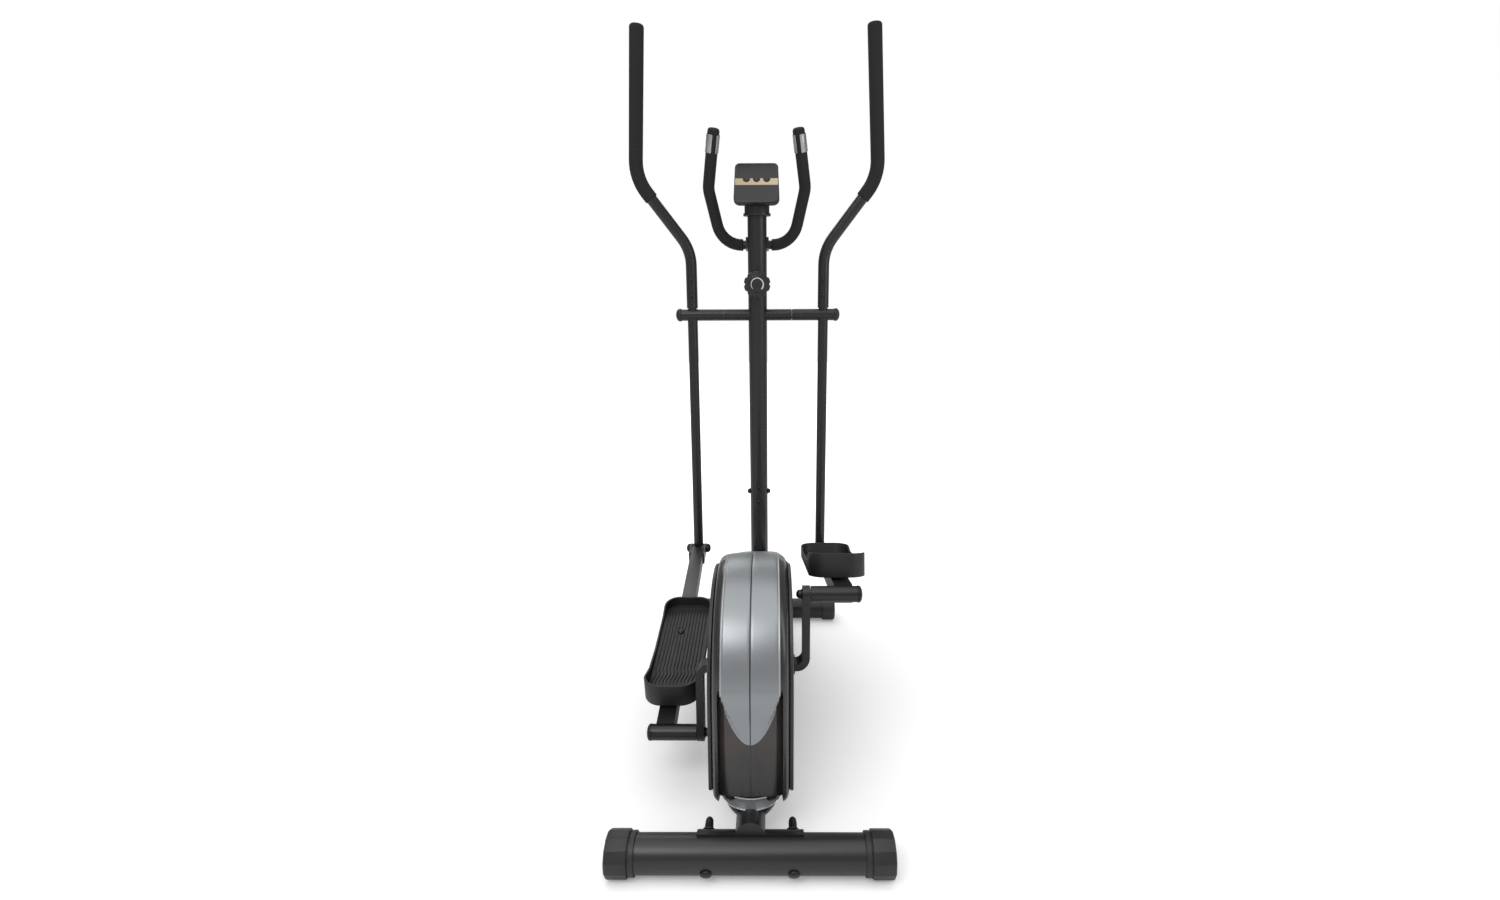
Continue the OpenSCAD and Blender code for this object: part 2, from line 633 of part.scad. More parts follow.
// The brake cable runs from the knob down inside the post, behind the cross axle and ahead of the
// joint's bolts, and back to the magnet bracket.
cable_d = 5;
cable_back = pivot_axle_d / 2 + cable_d / 2 + 1.5;
cable_ahead = stab_bolt_d / 2 + cable_d / 2 + 2;
cable_path = [[0, post_y(knob_h - 9) - cable_back, knob_h - 9],
              [0, post_y(pivot_h + 25) - cable_back, pivot_h + 25],
              [0, post_y(pivot_h - 25) - cable_back, pivot_h - 25], [0, post_y(700), 700],
              [0, post_y(post_seam_h + 100) + cable_ahead, post_seam_h + 100],
              [0, post_y(post_seam_h) + cable_ahead, post_seam_h], [0, post_y(300), 300],
              [0, post_y(240), 240], [0, post_y(215) - 10, 214], [0, post_y(200) - 34, 200],
              [4, 830, 204], [12, 790, 222], [19, 740, 240], [22.5, 690, 246], [22.5, 640, 246],
              [22.5, 590, 244], [22.5, 550, 240], [22.5, 526, 236]];
module tension_cable() color("#111111") from_rear() sweep(cable_path, cable_d / 2, 8, [1, 0, 0]);

bar_side = [0, 0.94, 0.34];
bar_half = rounded(bar_path, 62, 9);
module fixed_handlebar() color("#151517") from_rear() for (s = [-1, 1]) sided(s)
    pocket_tube(bar_half, bar_d / 2 - tube_wall, bar_d / 2, 20, bar_side, tube_wall);

module fixed_grip(side) color("#1a1a1b") from_rear() sided(side)
    pocket_tube(concat([[36, bar_y, bar_h]], [for (i = [1:len(bar_half) - 1]) bar_half[i]],
                       [bar_half[len(bar_half) - 1] + 2 * bar_end()]),
                bar_d / 2, bar_foam_d / 2, 20, bar_side, 6);
function bar_end() = heading(bar_half, len(bar_half) - 1);
module fixed_grip_left() fixed_grip(-1);
module fixed_grip_right() fixed_grip(1);

// A pulse sensor: two bright half sleeves with a dark gap, round the top of each fixed grip.
module pulse_sensors() color("#9ea2a5") for (s = [-1, 1]) sided(s) sensor_frame() {
    sensor_half(20, 46);
    sensor_half(200, 46);
}
module sensor_frame() {
    a = bar_path[3];
    d = a - bar_path[2];
    from_rear() translate(a) rotate([0, 0, atan2(d[1], d[0])])
        rotate([0, acos(d[2] / norm(d)), 0]) children();
}
module sensor_half(a, h) translate([0, 0, -h]) rotate([0, 0, a]) rotate_extrude(angle = 140)
    translate([bar_foam_d / 2 + 0.1, 0]) square([1.6, h - 6]);

// ---- Crank drive ----

module crank_axle() color("#7d8084") crank_frame()
    rod_x(-hub_x - hub_len + 1, hub_x + hub_len - 1, axle_d);

// A crank arm: a hub beside the housing, and a flat bar that curves outwards and along to its eye.
module crank_arm(side) color("#151517") crank_frame() sided(side)
    rotate([side > 0 ? 0 : 180, 0, 0]) difference() {
        union() {
            rod_x(hub_x, hub_x + hub_len, hub_d);
            intersection() {
                translate([0, arm_w / 2, 0]) rotate([90, 0, 0])
                    linear_extrude(arm_w) polygon(arm_profile());
                slab_x(hub_x, arm_x + arm_t + 1, capsule([0, 0], [0, crank_r], arm_w / 2));
            }
        }
        rod_x(hub_x - 1, hub_x + hub_len - 1, axle_d);
        translate([0, 0, crank_r]) rod_x(arm_x - 1, arm_x + arm_t + 1, pin_d);
    }
// The bar's outline from above: its inner and outer bends share one centre.
function arm_profile() =
    let (c = [arm_x - 12, arm_t / 2 + 12])
    concat([[hub_x + 6, -arm_t / 2]], arc(c, 12 + arm_t, -90, 0, 10),
        [[arm_x + arm_t, crank_r + 20], [arm_x, crank_r + 20]], arc(c, 12, 0, -90, 8),
        [[hub_x + 6, arm_t / 2]]);
module crank_arm_left() crank_arm(-1);
module crank_arm_right() crank_arm(1);

// The inboard nut at each crank eye.
module crank_nuts() color("#26272a") for (s = [-1, 1]) crank_frame() sided(s)
    translate([0, 0, s * crank_r]) {
        translate([arm_x - 0.1, 0, 0]) mirror([1, 0, 0]) dome_washer(15, 9);
        rod_x(arm_x - 1, arm_x + arm_t - 0.5, pin_d);
    }

module drive_pulley() color("#222326") crank_frame() difference() {
    union() {
        rod_x(belt_x - belt_w / 2, belt_x + belt_w / 2, 2 * pulley_r);
        rod_x(belt_x - belt_w / 2 - 3, belt_x + belt_w / 2 + 3, 52);
    }
    for (a = [0:60:300]) rotate([a, 0, 0]) translate([0, 0, (pulley_r + 26) / 2])
        rod_x(belt_x - 20, belt_x + 20, 34);
    rod_x(belt_x - 20, belt_x + 20, axle_d);
}

module bearings() color("#a9adb1") {
    crank_frame() for (s = [-1, 1]) sided(s) bearing(shell_half - 12, 11, bearing_d, axle_d);
    fly_frame() for (s = [-1, 1]) sided(s) bearing(plate_x, plate_t, fly_bearing_d, fly_axle_d);
}
module bearing(x, w, d1, d0) difference() {
    rod_x(x, x + w, d1);
    rod_x(x - 1, x + w + 1, d0 + 2 * run_fit);
}

function belt_circles(extra) = [[crank_y, crank_h, pulley_r + extra], [fly_y, fly_h, small_r + extra]];
module drive_belt() color("#0c0c0c") from_rear() difference() {
    slab_x(belt_x - belt_w / 2 + 1, belt_x + belt_w / 2 - 1,
        loop(belt_circles(gap + belt_t), 0, belt_steps));
    slab_x(belt_x - belt_w / 2, belt_x + belt_w / 2, loop(belt_circles(gap), 0, belt_steps));
}

module flywheel() color("#5c5f63") fly_frame() difference() {
    rod_x(-fly_half, fly_half, 2 * fly_r);
    for (s = [-1, 1]) sided(s) difference() {
        rod_x(fly_half - 9, fly_half + 1, 2 * fly_r - 36);
        rod_x(fly_half - 10, fly_half + 2, 44);
    }
    rod_x(-fly_half - 1, fly_half + 1, fly_axle_d);
}

module flywheel_axle() color("#8b8e92") fly_frame() {
    rod_x(-plate_x - plate_t - 4, belt_x + belt_w / 2 + 2, fly_axle_d);
    rod_x(belt_x - belt_w / 2, belt_x + belt_w / 2, 2 * small_r);
}

module idler_roller() color("#2d2e31") from_rear() translate([0, idler_at[0], idler_at[1]])
    difference() {
        rod_x(belt_x - belt_w / 2, belt_x + belt_w / 2, 2 * idler_r);
        rod_x(belt_x - belt_w, belt_x + belt_w, 8);
    }

// The magnet bracket: a curved arm over the flywheel's rim, with a row of magnets inside it.
module magnet_bracket() color("#6f7377") difference() {
    union() {
        fly_frame() sector(brake_r0, brake_r1, 13, 135, 202);
        for (a = [140:14:182]) fly_frame() sector(brake_r0 - 4, brake_r0 + 1, 11, a, a + 9);
        from_rear() translate([0, brake_pin[0], brake_pin[1]])
            rod_x(-plate_x + gap, plate_x - gap, 16);
    }
    from_rear() translate([0, brake_pin[0], brake_pin[1]]) rod_x(-40, 40, brake_pin_d);
}
// A curved block about the X axis, between two radii and two angles measured from +Y.
module sector(r0, r1, half, a0, a1) translate([-half, 0, 0]) rotate([90, 0, 90]) rotate([0, 0, a0])
    rotate_extrude(angle = a1 - a0, $fn = 96) translate([r0, 0]) square([r1 - r0, 2 * half]);

// ---- Swing arms and handles ----

module swing_arm(side) color("#151517") swing_frame(side) sided(side) difference() {
    union() {
        rod_x(hub_in, hub_out, cross_d);
        translate([swing_x, 0, -swing_len - 12]) cylinder(d = swing_d, h = swing_len + 4);
        translate([swing_x, 0, 6]) cylinder(d = spigot_d, h = 112);
        translate([0, 0, -swing_len]) rod_x(swing_x - eye_half, swing_x + eye_half, 24);
    }
    translate([swing_x, 0, -swing_len + 20])
        cylinder(d = swing_d - 2 * tube_wall, h = swing_len - 50);
    rod_x(hub_in - 1, hub_out + 1, pivot_axle_d + 2 * run_fit);
    translate([swing_x, 0, -swing_len]) rod_x(-30, 30, fork_bolt_d + 2 * run_fit);
    for (h = handle_bolt_h) translate([swing_x, 0, h]) rod_y(-20, 20, 6 + 2 * seat);
}
module swing_arm_left() swing_arm(-1);
module swing_arm_right() swing_arm(1);

// The handle's centre line in the swing arm's frame.
function handle_path() = [[swing_x, 0, 17], [swing_x, 0, 160], [grip_x, -20, 328],
                          [grip_x - 23, -grip_back, handle_h - 8]];
function handle_line() = rounded(handle_path(), 110, 8);
module handle(side) color("#151517") swing_frame(side) sided(side) difference() {
    pocket_tube(handle_line(), socket_r, handle_d / 2, 20, [0, 1, 0], tube_wall);
    for (h = handle_bolt_h) translate([swing_x, 0, h]) rod_y(-20, 20, 6 + 2 * seat);
}
module handle_left() handle(-1);
module handle_right() handle(1);

// The foam starts on the slanting run, just before the upper bend.
function foam_line() =
    let (h = handle_line(), n = len(h), a = h[9], b = h[10])
    concat([a + (b - a) * 0.86], [for (i = [10:n - 1]) h[i]],
           [h[n - 1] + (tube_wall + seat) * heading(h, n - 1)]);
module handle_grip(side) color("#1a1a1b") swing_frame(side) sided(side)
    pocket_tube(foam_line(), handle_d / 2, foam_d / 2, 20, [0, 1, 0], 8);
module handle_grip_left() handle_grip(-1);
module handle_grip_right() handle_grip(1);

module handle_bolts(side) color("#26272a") swing_frame(side) sided(side) for (h = handle_bolt_h)
    translate([swing_x, 0, h]) {
        rod_y(-handle_d / 2 - 1, handle_d / 2 + 1, 6);
        for (r = [-90, 90]) rotate([0, 0, r]) translate([handle_d / 2, 0, 0]) dome(11, 5);
    }
module handle_bolts_left() handle_bolts(-1);
module handle_bolts_right() handle_bolts(1);

// ---- Pedal tubes and pedals ----

module pedal_tube(side) color("#151517") link_frame(side) sided(side) difference() {
    union() {
        rod_x(sleeve_in, sleeve_out, sleeve_d);
        skewed() difference() {
            block([-link_w / 2, 4, -link_w / 2], [link_w / 2, link_len - 24, link_w / 2]);
            block([-link_w / 2 + 2, 30, -link_w / 2 + 2],
                  [link_w / 2 - 2, link_len, link_w / 2 - 2]);
        }
        for (s = [-1, 1]) translate([swing_x, 0, 0]) sided(s)
            slab_x(eye_half + gap, eye_half + gap + fork_t, concat(
                arc([link_len, 0], 13, -90, 90, 16),
                [[link_len - 60, 16], [link_len - 60, -16]]));
        translate([swing_x - eye_half - gap - fork_t, link_len - 52, -15])
            cube([2 * (eye_half + gap + fork_t), 12, 30]);
    }
    rod_x(sleeve_in - 1, sleeve_out + 1, pin_d + 4);
    translate([0, link_len, 0]) rod_x(swing_x - 40, swing_x + 40, fork_bolt_d);
    for (y = pedal_bolt_y) skewed() translate([0, y, -40]) cylinder(d = 8 + 2 * seat, h = 80);
}
// The tube runs slightly outwards from the sleeve to the fork.
module skewed() translate([link_x, 0, 0])
    rotate([0, 0, -atan((swing_x - link_x) / link_len)]) children();
module pedal_tube_left() pedal_tube(-1);
module pedal_tube_right() pedal_tube(1);

// A pedal: a ribbed tread inside a wall that is high at the heel and low at the toe.
module pedal(side) color("#0e0e0f") link_frame(side) sided(side)
    translate([pedal_x, pedal_start, pedal_lift]) difference() {
        linear_extrude(heel_h) polygon(pedal_outline(0));
        translate([0, 0, 6]) linear_extrude(heel_h) polygon(pedal_outline(4));
        translate([-pedal_w, 0, 0]) slab_x(0, 2 * pedal_w, [[-1, heel_h + 1], [-1, heel_h],
            [30, heel_h - 2], [80, 22], [150, 14], [pedal_l - 60, 16], [pedal_l - 20, 26],
            [pedal_l + 1, 28], [pedal_l + 1, heel_h + 1]]);
        for (y = pedal_bolt_y)
            translate([link_x + y * (swing_x - link_x) / link_len - pedal_x, y - pedal_start, -1])
                cylinder(d = 8 + 2 * seat, h = 20);
    }
function pedal_outline(i) =
    let (w = pedal_w / 2 - i, h = w)
    concat(arc([w - 34 + i, 34], 34 - i, -90, 0, 8),
           arc([h - 30 + i, pedal_l - 32], 32 - i, 0, 90, 8),
           arc([-h + 30 - i, pedal_l - 32], 32 - i, 90, 180, 8),
           arc([-w + 34 - i, 34], 34 - i, 180, 270, 8));
module pedal_left() pedal(-1);
module pedal_right() pedal(1);

module pedal_bolts(side) color("#26272a") link_frame(side) sided(side) for (y = pedal_bolt_y)
    translate([link_x + y * (swing_x - link_x) / link_len, y, 0]) {
        translate([0, 0, -link_w / 2 - 1]) cylinder(d = 7.6, h = link_w + 12);
        translate([0, 0, pedal_lift + 6]) rotate([0, -90, 0]) dome(15, 4);
        translate([0, 0, -link_w / 2 - 6]) cylinder(d = 13, h = 6, $fn = 6);
    }
module pedal_bolts_left() pedal_bolts(-1);
module pedal_bolts_right() pedal_bolts(1);

// The fork bolt with a dome at each end, and the crank pin with its outboard end cap.
module pivot_bolts(side) color("#1b1c1e") link_frame(side) sided(side) {
    translate([swing_x, link_len, 0]) {
        rod_x(-eye_half - gap - fork_t - 1, eye_half + gap + fork_t + 1, fork_bolt_d);
        for (s = [-1, 1]) sided(s) translate([eye_half + gap + fork_t, 0, 0]) dome(24, 13);
    }
    rod_x(sleeve_in, sleeve_out, pin_d + 4);
    translate([sleeve_out, 0, 0]) dome(sleeve_d + 1, 9);
}
module pivot_bolts_left() pivot_bolts(-1);
module pivot_bolts_right() pivot_bolts(1);

main_frame();
rear_stabiliser_tube();
front_stabiliser_tube();
rear_cap_left();
rear_cap_right();
front_cap_left();
front_cap_right();
transport_wheel_left();
transport_wheel_right();
stabiliser_bolts();
front_post();
post_bolts();
pivot_axle();
axle_caps();
housing_left();
housing_right();
lower_shroud();
crescent_trim();
side_cover_left();
side_cover_right();
housing_screws();
console_case();
console_lens();
button_left();
button_middle();
button_right();
tension_knob();
tension_cable();
fixed_handlebar();
fixed_grip_left();
fixed_grip_right();
pulse_sensors();
crank_axle();
crank_arm_left();
crank_arm_right();
crank_nuts();
drive_pulley();
bearings();
drive_belt();
flywheel();
flywheel_axle();
idler_roller();
magnet_bracket();
swing_arm_left();
swing_arm_right();
handle_left();
handle_right();
handle_grip_left();
handle_grip_right();
handle_bolts_left();
handle_bolts_right();
pedal_tube_left();
pedal_tube_right();
pedal_left();
pedal_right();
pedal_bolts_left();
pedal_bolts_right();
pivot_bolts_left();
pivot_bolts_right();
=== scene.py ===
from math import asin, atan2, cos, hypot, pi, radians, sin, sqrt, tan
import bmesh
import bpy
from mathutils import Matrix, Vector


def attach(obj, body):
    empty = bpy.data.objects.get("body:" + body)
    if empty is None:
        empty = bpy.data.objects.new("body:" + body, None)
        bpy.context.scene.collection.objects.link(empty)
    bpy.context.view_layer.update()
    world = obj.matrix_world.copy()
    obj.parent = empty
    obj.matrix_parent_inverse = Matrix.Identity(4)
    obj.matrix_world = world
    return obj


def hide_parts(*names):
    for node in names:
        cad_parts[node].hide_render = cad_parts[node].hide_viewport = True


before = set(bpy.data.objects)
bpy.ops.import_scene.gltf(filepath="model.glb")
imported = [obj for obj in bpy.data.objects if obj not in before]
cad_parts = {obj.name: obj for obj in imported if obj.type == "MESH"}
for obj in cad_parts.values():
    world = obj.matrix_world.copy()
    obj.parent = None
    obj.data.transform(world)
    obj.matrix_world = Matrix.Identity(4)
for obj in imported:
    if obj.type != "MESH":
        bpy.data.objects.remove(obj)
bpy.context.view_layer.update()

# ---------------------------------------------------------------------------
# The studio: a pale floor that runs into a pale room, and a camera standing
# behind the machine at chest height, a little right of its middle.
camera_spot = Vector((0.0329, -1.3665, 0.7959))
camera_down = radians(8.8)
camera_left = radians(0.4)
camera_roll = radians(-0.2)
camera_lens = 15.6
camera_shift = -0.0109
room_light = 0.34
room_seen = 1.0
floor_edge = 40.0


def area_light(name, spot, aim, size, power):
    data = bpy.data.lights.new(name, "AREA")
    data.shape = "RECTANGLE"
    data.size, data.size_y = size
    data.energy = power
    lamp = bpy.data.objects.new(name, data)
    bpy.context.scene.collection.objects.link(lamp)
    lamp.location = spot
    lamp.rotation_euler = (Vector(aim) - Vector(spot)).to_track_quat("-Z", "Y").to_euler()


def studio():
    scene = bpy.context.scene
    data = bpy.data.cameras.new("camera")
    data.sensor_width = 36.0
    data.lens = camera_lens
    data.shift_x = camera_shift
    data.clip_end = 100.0
    camera = bpy.data.objects.new("camera", data)
    scene.collection.objects.link(camera)
    camera.matrix_world = (Matrix.Translation(camera_spot) @ Matrix.Rotation(camera_left, 4, "Z")
                           @ Matrix.Rotation(pi / 2 - camera_down, 4, "X")
                           @ Matrix.Rotation(camera_roll, 4, "Z"))
    scene.camera = camera
    scene.view_settings.view_transform = "Standard"

    world = bpy.data.worlds.new("room")
    scene.world = world
    world.use_nodes = True
    tree = world.node_tree
    room = tree.nodes["Background"]
    room.inputs["Color"].default_value = (1.0, 1.0, 1.0, 1.0)
    paths = tree.nodes.new("ShaderNodeLightPath")
    strength = tree.nodes.new("ShaderNodeMapRange")
    strength.inputs["To Min"].default_value = room_light
    strength.inputs["To Max"].default_value = room_seen
    tree.links.new(paths.outputs["Is Camera Ray"], strength.inputs["Value"])
    tree.links.new(strength.outputs["Result"], room.inputs["Strength"])

    mesh = bpy.data.meshes.new("studio_floor")
    corners = [(-1, -1), (1, -1), (1, 1), (-1, 1)]
    mesh.from_pydata([(x * floor_edge, y * floor_edge, 0) for x, y in corners], [], [(0, 1, 2, 3)])
    pale = bpy.data.materials.new("pale_floor")
    pale.use_nodes = True
    shader = pale.node_tree.nodes["Principled BSDF"]
    shader.inputs["Base Color"].default_value = (0.93, 0.93, 0.93, 1.0)
    shader.inputs["Roughness"].default_value = 0.95
    shader.inputs["Specular IOR Level"].default_value = 0.1
    shader.inputs["Emission Strength"].default_value = 1.0
    node, link = pale.node_tree.nodes.new, pale.node_tree.links.new
    reach, fade, seen = node("ShaderNodeVectorMath"), node("ShaderNodeMapRange"), node("ShaderNodeMath")
    reach.operation, seen.operation = "LENGTH", "MULTIPLY"
    for name, value in (("From Min", 0.5), ("From Max", 2.6), ("To Min", 0.22), ("To Max", 1.0)):
        fade.inputs[name].default_value = value
    link(node("ShaderNodeTexCoord").outputs["Object"], reach.inputs[0])
    link(reach.outputs["Value"], fade.inputs["Value"])
    link(fade.outputs["Result"], seen.inputs[0])
    link(node("ShaderNodeLightPath").outputs["Is Camera Ray"], seen.inputs[1])
    link(seen.outputs["Value"], shader.inputs["Emission Color"])
    mesh.materials.append(pale)
    floor = bpy.data.objects.new("studio_floor", mesh)
    scene.collection.objects.link(floor)

    sun = bpy.data.lights.new("overhead", "SUN")
    sun.energy = 1.25
    sun.angle = radians(70)
    overhead = bpy.data.objects.new("overhead", sun)
    overhead.rotation_euler = (radians(12), radians(-8), 0)
    scene.collection.objects.link(overhead)
    area_light("key", (-0.9, -2.3, 2.6), (0, 0, 0.7), (1.6, 1.2), 26)
    area_light("side", (2.0, -1.0, 1.6), (0, 0, 0.7), (0.7, 2.0), 12)
    area_light("back", (-0.6, 2.4, 2.4), (0, 0, 0.8), (1.8, 1.2), 16)


studio()


# ---------------------------------------------------------------------------
# The steel frame: main tube, stabilisers, post and cross axle, all satin black
# powder coat over welded tube. The coat has a fine orange-peel surface.
class Wire:
    """One socket of a material's node tree, so that its maths reads as plain expressions."""

    def __init__(self, tree, socket):
        self.tree, self.socket = tree, socket

    def feed(self, target, value):
        if isinstance(value, Wire):
            self.tree.links.new(value.socket, target)
        elif isinstance(value, (tuple, list)) and len(target.default_value) == 4:
            target.default_value = (*value[:3], 1.0)
        else:
            target.default_value = value

    def node(self, kind, settings=None, out=0, **inputs):
        made = self.tree.nodes.new(kind)
        for name, value in (settings or {}).items():
            setattr(made, name, value)
        for name, value in inputs.items():
            key = int(name[1:]) if name[0] == "i" and name[1:].isdigit() else name.replace("_", " ")
            self.feed(made.inputs[key], value)
        return Wire(self.tree, made.outputs[out])

    def maths(self, word, *others):
        inputs = {f"i{n}": value for n, value in enumerate((self, *others))}
        return self.node("ShaderNodeMath", {"operation": word}, **inputs)

    def __add__(self, other):
        return self.maths("ADD", other)

    def __sub__(self, other):
        return self.maths("SUBTRACT", other)

    def __mul__(self, other):
        return self.maths("MULTIPLY", other)

    def __pow__(self, other):
        return self.maths("POWER", other)

    def __rsub__(self, other):
        return self * -1.0 + other

    def __abs__(self):
        return self.maths("ABSOLUTE")

    __radd__ = __add__
    __rmul__ = __mul__

    def step(self, low, high):
        """Rises smoothly from 0 at low to 1 at high."""
        return self.node("ShaderNodeMapRange", {"interpolation_type": "SMOOTHSTEP"},
                         Value=self, From_Min=low, From_Max=high)

    def between(self, low, high, soft):
        return self.step(low - soft, low + soft) * (1.0 - self.step(high - soft, high + soft))

    def tint(self, dark, pale):
        """Mixes two colours, self being the share of the second."""
        return self.node("ShaderNodeMix", {"data_type": "RGBA"}, out=2, i0=self, i6=dark, i7=pale)

    def noise(self, scale, detail=3.0):
        return self.node("ShaderNodeTexNoise", Vector=self, Scale=scale, Detail=detail)

    def cells(self, scale):
        return self.node("ShaderNodeTexVoronoi", Vector=self, Scale=scale)

    def stretched(self, x, y, z):
        return self.node("ShaderNodeVectorMath", {"operation": "MULTIPLY"}, i0=self, i1=(x, y, z))

    def part(self, axis):
        return self.node("ShaderNodeSeparateXYZ", out="XYZ".index(axis), Vector=self)


def blank_finish(name):
    """A new material, the point on the piece in metres, and its shader."""
    material = bpy.data.materials.new(name)
    material.use_nodes = True
    tree = material.node_tree
    spot = Wire(tree, tree.nodes.new("ShaderNodeTexCoord").outputs["Object"])
    return material, spot, tree.nodes["Principled BSDF"]


def dress(spot, shader, colour, roughness, metallic=0.0, height=None, depth=0.0002, **fixed):
    """Feeds a shader: what varies as wires, what is the same all over as plain numbers."""
    spot.feed(shader.inputs["Base Color"], colour)
    spot.feed(shader.inputs["Roughness"], roughness)
    spot.feed(shader.inputs["Metallic"], metallic)
    for name, value in fixed.items():
        shader.inputs[name.replace("_", " ")].default_value = value
    if height is not None:
        bump = spot.node("ShaderNodeBump", Height=height, Strength=0.6, Distance=depth)
        spot.feed(shader.inputs["Normal"], bump)


def powder_coat():
    material, spot, shader = blank_finish("powder_coat")
    peel = spot.noise(650.0, 2.0)
    drift = spot.noise(9.0)
    dress(spot, shader, drift.tint((0.0065, 0.0066, 0.0072), (0.0115, 0.0118, 0.013)),
          0.27 + drift * 0.12 + peel * 0.05, height=peel, depth=0.00022, Specular_IOR_Level=0.5)
    return material


def ground_steel():
    material, spot, shader = blank_finish("ground_steel")
    streaks = spot.stretched(40.0, 900.0, 900.0).noise(1.0, 4.0)
    dress(spot, shader, streaks.tint((0.36, 0.37, 0.38), (0.6, 0.61, 0.62)),
          0.24 + streaks * 0.2, 1.0, streaks, 0.00005)
    return material


def cover(material, *nodes):
    """Gives CAD nodes a material in every slot."""
    for node in nodes:
        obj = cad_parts[node]
        if not obj.material_slots:
            obj.data.materials.append(material)
        for held in obj.material_slots:
            held.material = material


def place(x, y, z):
    """A point in millimetres, Y counted from the rear stabiliser, as the frame's metres."""
    return Vector((x, y - 477.5, z)) / 1000


def kept(name, mesh, body, replaced, sharp):
    """Puts a mesh in the scene, riding on a body and standing for the CAD nodes it replaces."""
    mesh.set_sharp_from_angle(angle=radians(sharp))
    obj = bpy.data.objects.new(name, mesh)
    bpy.context.scene.collection.objects.link(obj)
    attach(obj, body)
    if replaced:
        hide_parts(*replaced)
    return obj


def piece(name, body, material, made, *replaced, slot, sharp=35.0):
    """Turns a bmesh into a finished piece that rides on a body and stands for CAD nodes."""
    bmesh.ops.remove_doubles(made, verts=made.verts, dist=1e-6)
    bmesh.ops.recalc_face_normals(made, faces=made.faces)
    mesh = bpy.data.meshes.new(name)
    made.to_mesh(mesh)
    made.free()
    mesh.materials.append(material)
    for face in mesh.polygons:
        face.use_smooth = True
    return kept(name, mesh, body, replaced, sharp)


def eased(node, body, material, width, slot):
    """A copy of a CAD node whose sharp edges are rounded over, as a coat or a mould leaves them."""
    made = bmesh.new()
    made.from_mesh(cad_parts[node].data)
    bmesh.ops.remove_doubles(made, verts=made.verts, dist=2e-6)
    bmesh.ops.dissolve_limit(made, angle_limit=radians(0.6), verts=made.verts, edges=made.edges)
    edges = [e for e in made.edges if len(e.link_faces) == 2 and e.calc_face_angle(0) > radians(32)]
    bmesh.ops.bevel(made, geom=edges, offset=width, segments=2, profile=0.6, affect="EDGES",
                    clamp_overlap=True)
    return piece(node + "_eased", body, material, made, node, slot=slot, sharp=40.0)


coat = powder_coat()
steel = ground_steel()
cover(coat, "main_frame", "front_stabiliser_tube", "front_post")
cover(steel, "pivot_axle")


# The rear stabiliser tube carries a satin coat that picks up one long, soft highlight, with a
# faint brushed drift along it.
def stabiliser_coat():
    material, spot, shader = blank_finish("stabiliser_coat")
    drift = spot.stretched(6.0, 60.0, 60.0).noise(1.0, 4.0)
    peel = spot.noise(520.0, 2.0)
    dress(spot, shader, drift.tint((0.008, 0.008, 0.0088), (0.016, 0.016, 0.0175)),
          0.3 + drift * 0.16, height=peel, depth=0.0003, Specular_IOR_Level=0.6)
    return material


cover(stabiliser_coat(), "rear_stabiliser_tube")


# ---------------------------------------------------------------------------
# The stabiliser end caps: moulded black nylon. The rear pair are twelve-sided
# levelling grips behind a round collar; the front pair hold the wheels.
cap_start, cap_end = 184.5, 220.0
cap_middle = 33.0
cap_flat = 33.0
tube_reach = 28.9


def moulded_black(name, pale=(0.021, 0.021, 0.023), gloss=0.42, grain=900.0):
    material, spot, shader = blank_finish(name)
    leather = spot.cells(grain)
    drift = spot.noise(26.0)
    dark = tuple(0.55 * value for value in pale)
    dress(spot, shader, drift.tint(dark, pale), gloss + leather * 0.12 + drift * 0.06,
          height=leather, depth=0.00016, Specular_IOR_Level=0.45)
    return material


def rings_round(made, rows):
    """Joins each ring of vertices to the next by a row of faces."""
    for low, high in zip(rows, rows[1:]):
        for i in range(len(low)):
            j = (i + 1) % len(low)
            made.faces.new((low[i], low[j], high[j], high[i]))


def skin(rings, ended=True):
    """A bmesh skinned over rings of equally many points, its ends closed by one face each."""
    made = bmesh.new()
    rows = [[made.verts.new(point) for point in ring] for ring in rings]
    rings_round(made, rows)
    if ended:
        made.faces.new(rows[0][::-1])
        made.faces.new(rows[-1])
    return made


sides = {"left": -1, "right": 1}


def twelve_sided(flat, corner, steps=3):
    """Y-Z offsets round a twelve-sided grip whose corners are rounded off."""
    ring = []
    for side in range(12):
        middle = radians(15 + 30 * side)
        core = (flat - corner) / cos(radians(15))
        for step in range(steps + 1):
            turn = middle + radians(-15 + 30 * step / steps)
            ring.append((core * cos(middle) + corner * cos(turn),
                         core * sin(middle) + corner * sin(turn)))
    return ring


def round_ring(radius, count=48):
    turns = [2 * pi * (i + 0.5) / count for i in range(count)]
    return [(radius * cos(turn), radius * sin(turn)) for turn in turns]


nylon = moulded_black("moulded_nylon", (0.026, 0.026, 0.028), 0.36)


